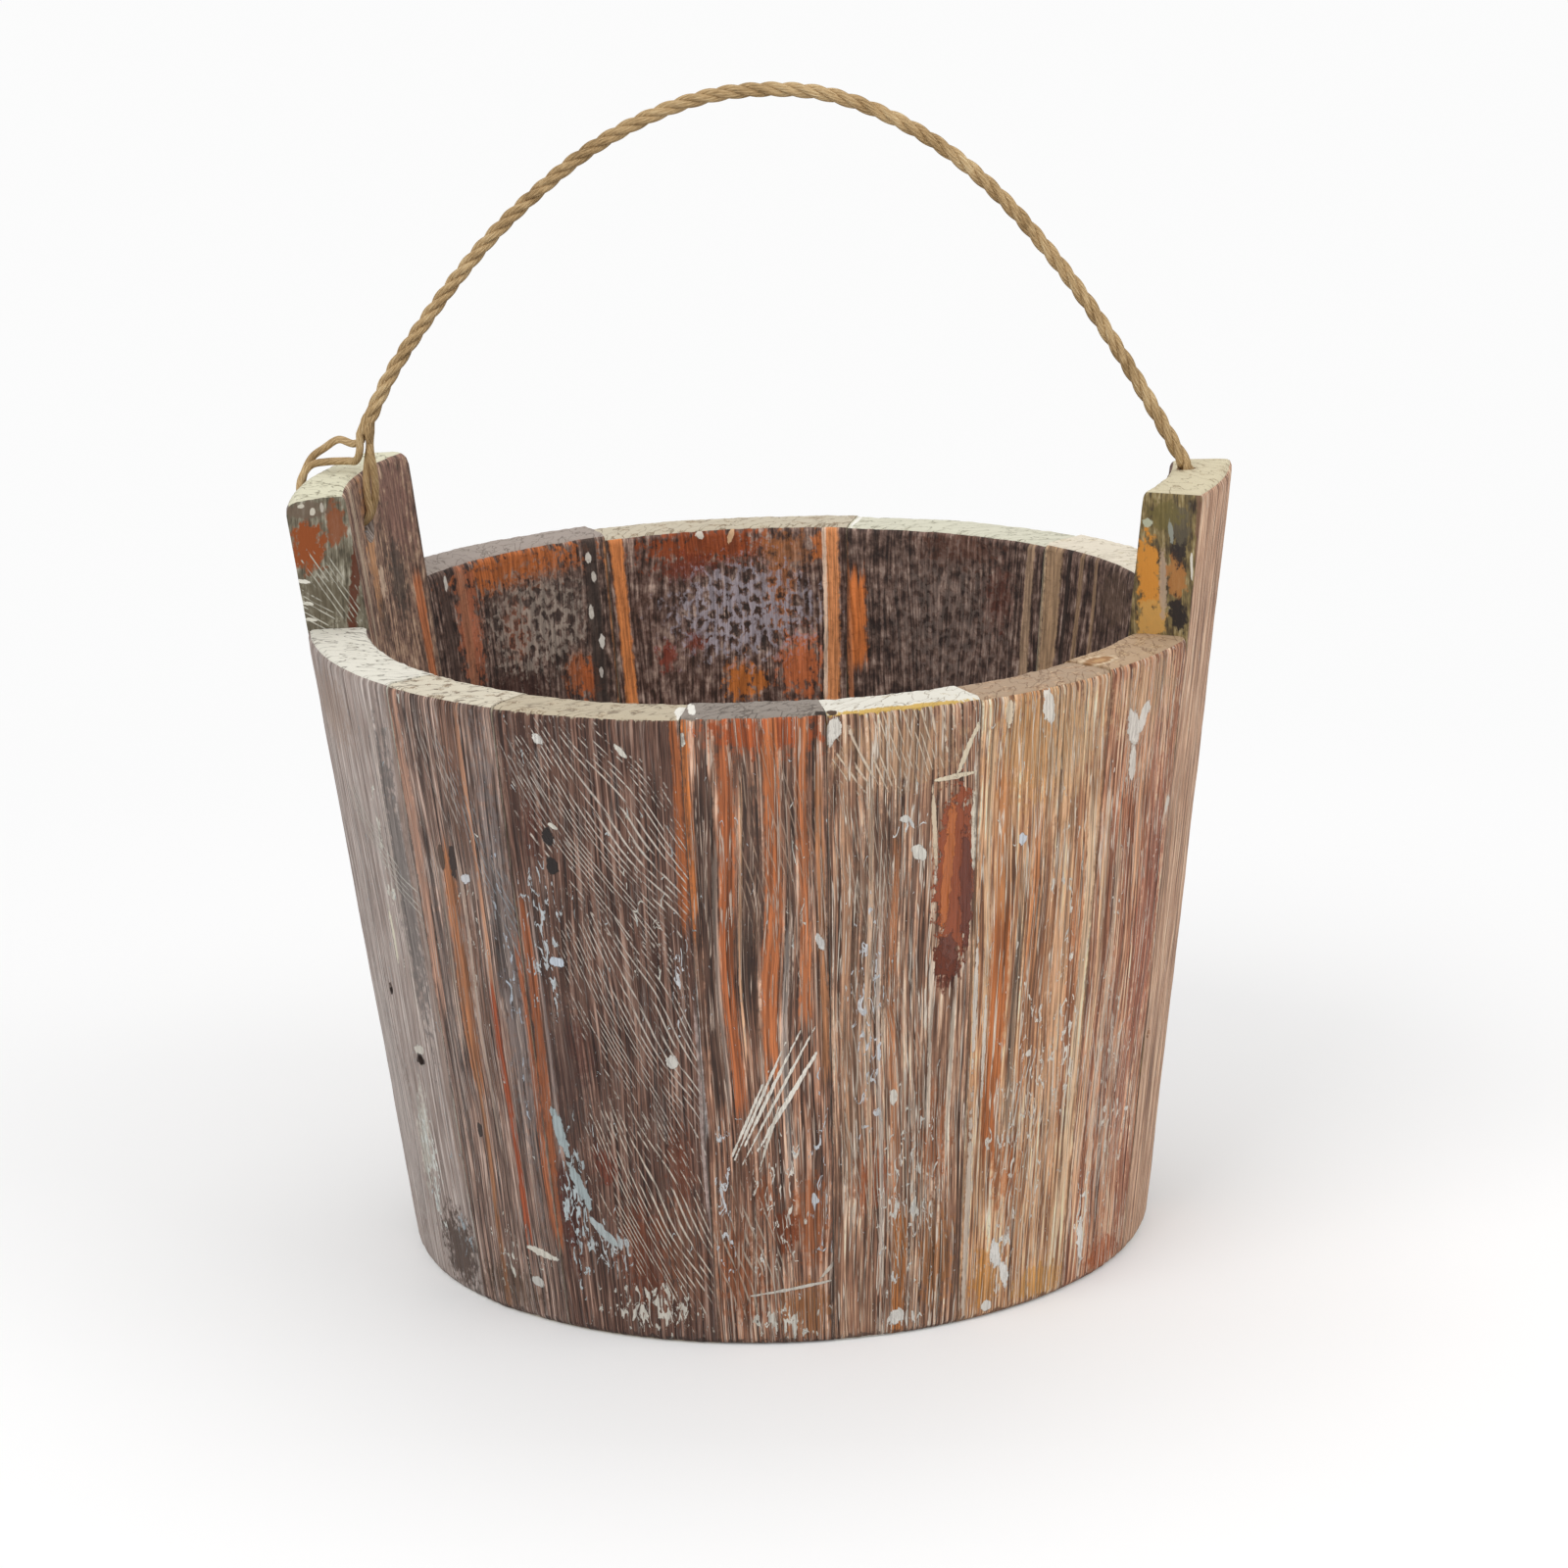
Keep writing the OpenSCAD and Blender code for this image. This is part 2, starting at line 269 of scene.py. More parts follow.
def sweep(name, lines, radius, sides, taper=1):
    # tubes about lines of points in one mesh; its UV map holds the way round and along
    points, faces, places = [], [], []
    for line in lines:
        side = None
        along = 0
        start = len(points)
        count = len(line)
        for i, (point, ahead) in enumerate(zip(line, headings(line))):
            if side is None:
                side = ahead.cross(Vector((0.31, 0.87, 0.38))).normalized()
            side = (side - ahead * side.dot(ahead)).normalized()
            other = ahead.cross(side)
            along += (point - line[i - 1]).length if i else 0
            size = radius * (1 - (1 - taper) * i / (count - 1))
            for k in range(sides):
                turn = 2 * math.pi * k / sides
                points.append(point + (side * math.cos(turn) + other * math.sin(turn)) * size)
            if i:
                for k in range(sides):
                    here, there = start + (i - 1) * sides, start + i * sides
                    faces.append((here + k, here + (k + 1) % sides,
                                  there + (k + 1) % sides, there + k))
                    far = along / 0.01
                    near = far - (point - line[i - 1]).length / 0.01
                    places += [(k / sides, near), ((k + 1) / sides, near),
                               ((k + 1) / sides, far), (k / sides, far)]
        faces.append(tuple(start + k for k in range(sides))[::-1])
        faces.append(tuple(start + (count - 1) * sides + k for k in range(sides)))
        places += [(0.5, 0)] * (2 * sides)
    mesh = bpy.data.meshes.new(name)
    mesh.from_pydata(points, [], faces)
    layer = mesh.uv_layers.new(name="UVMap")
    for place, spot in zip(places, layer.data):
        spot.uv = place
    mesh.shade_smooth()
    piece = bpy.data.objects.new(name, mesh)
    bpy.context.scene.collection.objects.link(piece)
    return piece


def ropeStrands(line):
    # the three strands that wind about a rope's middle line
    along, strands = 0, [[], [], []]
    for i, (point, ahead) in enumerate(zip(line, headings(line))):
        along += (point - line[i - 1]).length if i else 0
        level = ropeBack
        upright = ahead.cross(level).normalized()
        for k, strand in enumerate(strands):
            turn = 2 * math.pi * (along / rope["lay"] + k / 3)
            strand.append(point + (level * math.cos(turn) + upright * math.sin(turn))
                          * rope["spread"])
    return strands


def eyeLine(route, phase):
    # one strand of the eye; on the inner face the two strands turn about each other
    line = smoothLine([ropePlace(*p) for p in route], 0.0012)
    top, foot = 0.270, 0.2425
    middle = [ropePlace(-131.3, 0, 270), ropePlace(-131.9, 0, 242)]
    result = []
    for i, point in enumerate(line):
        if i < len(line) * 0.35 and point.z > foot:
            share = (top - point.z) / (top - foot)
            turn = math.radians(phase + rope["eyeTwist"] * (1 - share))
            core = middle[0].lerp(middle[1], min(1, share * 1.02))
            wound = core + (ropeBack * math.cos(turn) + ropeAcross * math.sin(turn)) * 1.45 * mm
            keep = min(1, share * 4, (1 - share) * 5)
            result.append(point.lerp(wound, keep))
        else:
            result.append(point)
    start = smoothLine([ropePlace(-129.6, 0, 277.5), ropePlace(-130.6, route[0][1] * 0.6, 274),
                        result[0]], 0.0012)[:-1]
    finish = smoothLine([result[-1], ropePlace(-132.2, route[-1][1] * 0.7, 274.2),
                         ropePlace(-130, 0, 278.5)], 0.0012)[1:]
    return start + result + finish


def makeRope():
    route = [rope["tailFoot"], rope["rightMouth"], rope["overMouth"], *rope["arc"],
             *rope["overEye"]]
    middle = smoothLine([ropePlace(x, 0, z) for x, z in route], 0.001)
    bail = sweep("rope", ropeStrands(middle), rope["strand"], 14)
    lengthOf(middle)
    eyes = []
    for name, route, phase in (("rope_eye_high", rope["highRoute"], 0),
                               ("rope_eye_low", rope["lowRoute"], 180)):
        line = eyeLine(route, phase)
        eye = sweep(name, [line], rope["eyeStrand"], 14)
        lengthOf(line)
        eyes.append(eye)
    return bail, middle, eyes


ropePiece, ropeMiddle, eyePieces = makeRope()
print("rope laid,", round(lengthOf(ropeMiddle), 3), "m")


def ropeFinish(name):
    fin = Finish(name)
    place = fin.node("TexCoord", {}, {}, "UV")
    parts = fin.node("SeparateXYZ", {}, {0: place})
    around = parts
    along = Link(fin, parts.socket.node.outputs[1])
    # yarns run slantwise round each strand, and fibres along the yarns
    slant = around * 7 + along * 2.6
    yarn = fin.node("Math", {"operation": "SINE"}, {0: slant * 6.2832})
    fibre = fin.noise(slant * 5, along * 3, 3, 0.7)
    patch = fin.noise(along * 0.7, around * 0.5, 2, 0.5)
    # painted shade: the yarn wave lightens and darkens the colour a little in slanting bands, besides its bump
    tone = fibre * 0.65 + patch * 0.35 + yarn * 0.035
    base = fin.ramp(tone, [(0.30, "#6f5836"), (0.42, "#9a7c52"), (0.52, "#bd9d70"),
                           (0.62, "#d0b588"), (0.74, "#e6d3ac")])
    height = yarn * 0.35 + fibre
    return fin.close(base, 0.85, height, 0.0003, 0.7)


ropeLook = ropeFinish("jute")
for piece, node in zip([ropePiece, *eyePieces], ["rope_bail", "eye_strand_high", "eye_strand_low"]):
    piece.data.materials.append(ropeLook)
    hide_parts(node)
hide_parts("rope_splice", "rope_tail")
for piece in eyePieces:
    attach(piece, "bucket")


def bendRope(piece):
    way = Vector(next(j for j in frame["joints"] if j["name"] == "bail_swing")["axis"])
    upright = ropeBack.cross(way)
    upright = upright if upright.z > 0 else -upright
    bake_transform(piece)


bendRope(ropePiece)
print("rope finished")


# Wood

seams = [-26, -4, 40, 76, 115, 152, 185, 218, 236, 260, 277, 296, 316, 334]
rises = [0, 0.4, -0.3, 0, 1.5, 0, 0.3, 0, -0.4, 0.3, 0, -0.5, 0.2]
staveNames = ["ear_stave_right", "back_stave_1", "back_stave_2", "back_stave_3", "back_stave_4",
              "ear_stave_left", "front_stave_1", "front_stave_2", "front_stave_3",
              "front_stave_4", "front_stave_5", "front_stave_6", "front_stave_7"]
perDegree = 2.4  # millimetres along the wall for one degree round it


class Wood(Finish):  # a finish in millimetres round and up the wall, with boards' usual marks
    def __init__(self, name, middle, seed):
        super().__init__(name)
        self.middle = middle
        point = self.node("TexCoord", {}, {}, "Object")
        parts = self.node("SeparateXYZ", {}, {0: point})
        x, y, z = (Link(self, s) for s in parts.socket.node.outputs)
        lean = math.radians(middle)
        ahead = x * math.cos(lean) + y * math.sin(lean)
        aside = y * math.cos(lean) - x * math.sin(lean)
        self.side = self.node("Math", {"operation": "ARCTAN2"}, {0: aside, 1: ahead}) * (
            perDegree * 180 / math.pi)
        self.radius = self.node("Math", {"operation": "POWER"},
                                {0: ahead * ahead + aside * aside, 1: 0.5}) * 1000
        self.up = z * 1000
        self.seed = seed * 61.7
        self.flat = self.vector(self.side, self.up)

    def across(self, theta):  # millimetres from the board's middle
        return (theta - self.middle) * perDegree

    def blob(self, theta, z, wide, high, tilt=0, edge=0.3, ragged=1.6):
        local = self.node("Mapping", {"vector_type": "TEXTURE"},
                          {"Vector": self.flat, "Location": (self.across(theta), z, 0),
                           "Rotation": (0, 0, math.radians(tilt)), "Scale": (wide, high, 1)})
        away = self.node("VectorMath", {"operation": "LENGTH"}, {0: local}, "Value")
        return self.smooth(away + (self.rag - 0.5) * ragged, 1, 1 - edge)

    def strip(self, theta, low, high, wide, fingers=46):
        away = abs(self.side - self.across(theta) + (self.wander - 0.5) * 5) / wide
        reach = self.up + (self.streak - 0.5) * fingers
        return (self.smooth(away + (self.rag - 0.5) * 0.9, 1.15, 0.7)
                * self.smooth(reach, low - 3, low + 3) * self.smooth(reach, high + 3, high - 3))

    def comb(self, theta, z, wide, high, tilt, spacing, swirl=1.6):
        # thin lines side by side that run up the tilted oval
        local = self.node("Mapping", {"vector_type": "TEXTURE"},
                          {"Vector": self.flat, "Location": (self.across(theta), z, 0),
                           "Rotation": (0, 0, math.radians(tilt)), "Scale": (1, 1, 1)})
        parts = self.node("SeparateXYZ", {}, {0: local})
        x, y, _ = (Link(self, s) for s in parts.socket.node.outputs)
        drift = self.noise(x * 0.05 + self.seed, y * 0.02, 0)
        lines = self.node("Math", {"operation": "SINE"},
                          {0: (x / spacing + (drift - 0.5) * swirl * 4) * 6.2832})
        broken = self.noise(x / spacing * 0.9, y * 0.06 + self.seed, 2, 0.6)
        away = self.node("VectorMath", {"operation": "LENGTH"},
                         {0: self.vector(x / wide, y / high)}, "Value")
        return (self.smooth(lines, 0.3, 0.95) * self.smooth(broken, 0.43, 0.53)
                * self.smooth(away + (self.rag - 0.5) * 1.4, 1, 0.7))

    def common(self):
        # noises that most marks share
        self.rag = self.noise(self.side * 0.42 + self.seed, self.up * 0.3, 4, 0.62)
        self.wander = self.noise(self.side * 0.05 + self.seed, self.up * 0.012, 0)
        self.streak = self.noise(self.side * 0.62 + self.seed, self.up * 0.012, 3, 0.6)


def outerWood(name, middle, look, seed):
    fin = Wood(name, middle, seed)
    fin.common()
    wavy = fin.side + (fin.wander - 0.5) * 5
    fine = fin.noise(wavy * 1.15 + fin.seed, fin.up * 0.026, 3, 0.68)
    blotch = fin.noise(fin.side * 0.12 + fin.seed, fin.up * 0.05, 3, 0.6)
    soft = look.get("soft", 1)
    tone = fine * 0.38 + fin.streak * 0.44 + blotch * 0.18
    dark, low, mid, high, pale = look["tones"]
    base = fin.ramp(tone, [(0.5 - 0.12 * soft, dark), (0.5 - 0.055 * soft, low), (0.5, mid),
                           (0.5 + 0.055 * soft, high), (0.5 + 0.12 * soft, pale)])
    # broad colours first, then strips, then thin lines and chips of paint
    for theta, z, wide, tall, tilt, code, strength in look.get("patches", []):
        mask = fin.blob(theta, z, wide, tall, tilt, 0.5, 2.2)
        base = fin.paint(mask * strength, base, code)
    for theta, lowEnd, highEnd, wide, code, strength in look.get("strips", []):
        base = fin.paint(fin.strip(theta, lowEnd, highEnd, wide) * strength, base, code)
    # the grain's tone, lighter on its ridges, with painted shade in the hollows between them
    relief = look.get("relief", 0.5)
    ridge = fin.node("MapRange", {}, {"Value": fine, "From Min": 0.34, "From Max": 0.66,
                                      "To Min": 1 - relief, "To Max": 1 + relief})
    shadedHollow = fin.smooth(fin.noise(wavy * 0.72 + fin.seed * 2.1, fin.up * 0.011, 2, 0.5),
                        0.41, 0.35)
    base = fin.node("VectorMath", {"operation": "MULTIPLY"},
                    {0: base, 1: look.get("light", (0.84, 0.76, 0.68))})
    # painted shade: the colour is darkened in the grain's hollows, on top of their bump
    base = fin.node("VectorMath", {"operation": "SCALE"},
                    {0: base, "Scale": ridge * (1 - shadedHollow * relief)})
    base = fin.node("VectorMath", {"operation": "MINIMUM"}, {0: base, 1: (0.86, 0.80, 0.74)})
    gap = abs(fin.noise(wavy * 0.7 + fin.seed * 1.3, fin.up * 0.013, 2, 0.55) - 0.5)
    torn = fin.noise(fin.side * 0.5 + fin.seed, fin.up * 0.055, 2, 0.6)
    lines = fin.smooth(gap, 0.032, 0.012) * fin.smooth(torn, 0.44, 0.50)
    base = fin.paint(lines * look.get("lines", 0.6), base, look.get("lineColour", pale))
    raised = lines * 0.5 - shadedHollow * 0.6
    for theta, z, wide, tall, tilt, spacing, code, strength in look.get("combed", []):
        mask = fin.comb(theta, z, wide, tall, tilt, spacing)
        base = fin.paint(mask * strength, base, code)
        raised = raised + mask * 0.6
    chips = fin.noise(fin.side * 0.5 + fin.seed, fin.up * 0.17, 3, 0.6, 0.8)
    for theta, z, wide, tall, share, code in look.get("specks", []):
        area = fin.blob(theta, z, wide, tall, 0, 0.8, 1.2)
        mask = fin.smooth(chips + area * share * 0.3, 0.735, 0.755)
        base = fin.paint(mask, base, code)
        raised = raised + mask * 0.5
    gloss = None
    for theta, z, wide, tall, tilt, code, *shine in look.get("chips", []):
        mask = fin.blob(theta, z, wide, tall, tilt, 0.14, 1.3)
        base = fin.paint(mask, base, code)
        raised = raised + mask * 0.6
        if shine:
            gloss = mask
    # the rim's paint wraps over the top edge here and there
    if "rimColour" in look:
        top = look["top"]
        wrap = fin.smooth(fin.up + (fin.rag - 0.5) * 5, top - 1, top - 0.4)
        base = fin.paint(wrap, base, look["rimColour"])
    half = look["span"] / 2 * perDegree
    edge = fin.smooth(abs(fin.side) + (fin.rag - 0.5) * 3, half - 1.1, half - 0.2)
    base = fin.paint(edge * 0.55, base, look.get("edgeColour", dark))
    # painted shade: the lowest two millimetres or so of the outer face are darkened where the foot meets the floor
    foot = fin.smooth(fin.up + (fin.rag - 0.5) * 8, 2.2, 0.8)
    base = fin.paint(foot * 0.8, base, dark)
    rough = 0.78 - raised * 0.1
    if gloss is not None:
        rough = rough - gloss * 0.45
    height = fine * 1.1 + fin.streak * 0.6 + raised
    return fin.close(base, rough, height, 0.0007, 0.85)


def innerWood(name, middle, look, seed):
    fin = Wood(name, middle, seed + 0.37)
    fin.common()
    wavy = fin.side + (fin.wander - 0.5) * 8
    fine = fin.noise(wavy * 0.8 + fin.seed, fin.up * 0.05, 3, 0.65)
    blotch = fin.noise(fin.side * 0.23 + fin.seed, fin.up * 0.2, 3, 0.6)
    tone = fine * 0.45 + blotch * 0.55
    dark, low, mid, high, pale = look["innerTones"]
    base = fin.ramp(tone, [(0.37, dark), (0.45, low), (0.51, mid), (0.58, high), (0.68, pale)])
    cells = fin.node("TexVoronoi", {"voronoi_dimensions": "2D", "feature": "DISTANCE_TO_EDGE"},
                     {"Vector": fin.vector(fin.side * 0.21 + (fin.rag - 0.5) * 1.3,
                                           fin.up * 0.19 + (blotch - 0.5) * 1.4), "Scale": 1})
    web = fin.smooth(cells, 0.25, 0.10)
    pits = fin.smooth(cells, 0.24, 0.40)
    for theta, z, wide, tall, tilt, code, strength in look.get("innerPatches", []):
        base = fin.paint(fin.blob(theta, z, wide, tall, tilt, 0.5, 2.6) * strength, base, code)
    for theta, z, wide, tall, code, strength in look.get("webs", []):
        area = fin.blob(theta, z, wide, tall, 0, 0.6, 2)
        base = fin.paint(area * pits * strength, base, "#2a2220")
        base = fin.paint(area * web * strength, base, code)
    for theta, lowEnd, highEnd, wide, code, strength in look.get("innerStrips", []):
        base = fin.paint(fin.strip(theta, lowEnd, highEnd, wide, 20) * strength, base, code)
    ridge = fin.node("MapRange", {}, {"Value": fine, "From Min": 0.34, "From Max": 0.66,
                                      "To Min": 0.65, "To Max": 1.35})
    base = fin.node("VectorMath", {"operation": "MULTIPLY"}, {0: base, 1: (1.32, 1.18, 1.08)})
    base = fin.node("VectorMath", {"operation": "SCALE"}, {0: base, "Scale": ridge})
    for theta, z, wide, tall, tilt, code in look.get("innerChips", []):
        base = fin.paint(fin.blob(theta, z, wide, tall, tilt, 0.2, 1.4), base, code)
    half = look["span"] / 2 * perDegree
    edge = fin.smooth(abs(fin.side) + (fin.rag - 0.5) * 3, half - 1.4, half - 0.2)
    base = fin.paint(edge * 0.6, base, dark)
    height = fine * 0.7 + blotch * 0.7 + web * 0.2
    return fin.close(base, 0.8, height, 0.0006, 0.7)


def endWood(name, middle, look, seed):
    fin = Wood(name, middle, seed + 0.71)
    fin.common()
    depth = fin.radius
    rings = fin.noise(fin.side * 0.35 + fin.seed, depth * 1.1, 3, 0.6)
    pores = fin.noise(fin.side * 1.5 + fin.seed, depth * 1.5, 2, 0.6)
    worn = fin.noise(fin.side * 0.16 + fin.seed, depth * 0.22 + (pores - 0.5), 3, 0.6)
    dark, mid, pale = look["endTones"]
    base = fin.ramp(rings * 0.6 + pores * 0.4, [(0.36, dark), (0.48, mid), (0.62, pale)])
    paint = fin.smooth(worn, 0.5 - look["endPaint"] * 0.22 + 0.02,
                       0.5 - look["endPaint"] * 0.22 - 0.02)
    base = fin.paint(1 - paint, base, look["endColour"])
    cracks = fin.smooth(abs(fin.noise(fin.side * 0.16 + depth * 0.12 + fin.seed,
                                      depth * 0.09, 2, 0.5) - 0.5), 0.020, 0.006)
    base = fin.paint(cracks * 0.7, base, dark)
    for theta, radius, wide, tall, tilt, code in look.get("endChips", []):
        local = fin.node("Mapping", {"vector_type": "TEXTURE"},
                         {"Vector": fin.vector(fin.side, depth),
                          "Location": (fin.across(theta), radius, 0),
                          "Rotation": (0, 0, math.radians(tilt)), "Scale": (wide, tall, 1)})
        away = fin.node("VectorMath", {"operation": "LENGTH"}, {0: local}, "Value")
        base = fin.paint(fin.smooth(away + (fin.rag - 0.5) * 1.5, 1, 0.75), base, code)
    height = rings * 0.5 + pores * 0.5 - cracks
    return fin.close(base, 0.8, height, 0.0005, 0.6)


def sideWood(name, look, middle, seed):
    # the flat sides of an ear, in millimetres out from the middle and up
    fin = Wood(name, middle, seed + 0.13)
    fin.side = fin.radius - 140
    fin.flat = fin.vector(fin.side, fin.up)
    fin.middle = 0
    fin.common()
    fine = fin.noise(fin.side * 1.1 + fin.seed, fin.up * 0.08, 3, 0.7)
    blotch = fin.noise(fin.side * 0.3 + fin.seed, fin.up * 0.12, 3, 0.6)
    dark, low, mid, high, pale = look["sideTones"]
    base = fin.ramp(fine * 0.5 + blotch * 0.5, [(0.36, dark), (0.44, low), (0.51, mid),
                                                (0.58, high), (0.68, pale)])
    for out, z, wide, tall, tilt, code, strength in look.get("sidePatches", []):
        mask = fin.blob((out - 140) / perDegree, z, wide, tall, tilt, 0.35, 1.8)
        base = fin.paint(mask * strength, base, code)
    raised = fine * 0.4
    for out, z, wide, tall, tilt, spacing, code, strength in look.get("sideCombed", []):
        mask = fin.comb((out - 140) / perDegree, z, wide, tall, tilt, spacing, 0.7)
        base = fin.paint(mask * strength, base, code)
        raised = raised + mask * 0.6
    for out, z, wide, tall, tilt, code in look.get("sideChips", []):
        mask = fin.blob((out - 140) / perDegree, z, wide, tall, tilt, 0.2, 1.4)
        base = fin.paint(mask, base, code)
    return fin.close(base, 0.78, raised + blotch * 0.5, 0.0005, 0.7)


white, cream, iron = "#d9d4c8", "#d8d0bc", "#3a2c26"
rust, orange, tan, ochre = "#8a4626", "#ad6a3d", "#bd9069", "#b48347"
bluish, lavender = "#a4adb2", "#8e8a90"
darkInside = ["#2a1f1c", "#40322d", "#55453f", "#6d5d56", "#93867f"]
brownInside = ["#33231c", "#4c3830", "#63504a", "#7d6c64", "#a09189"]

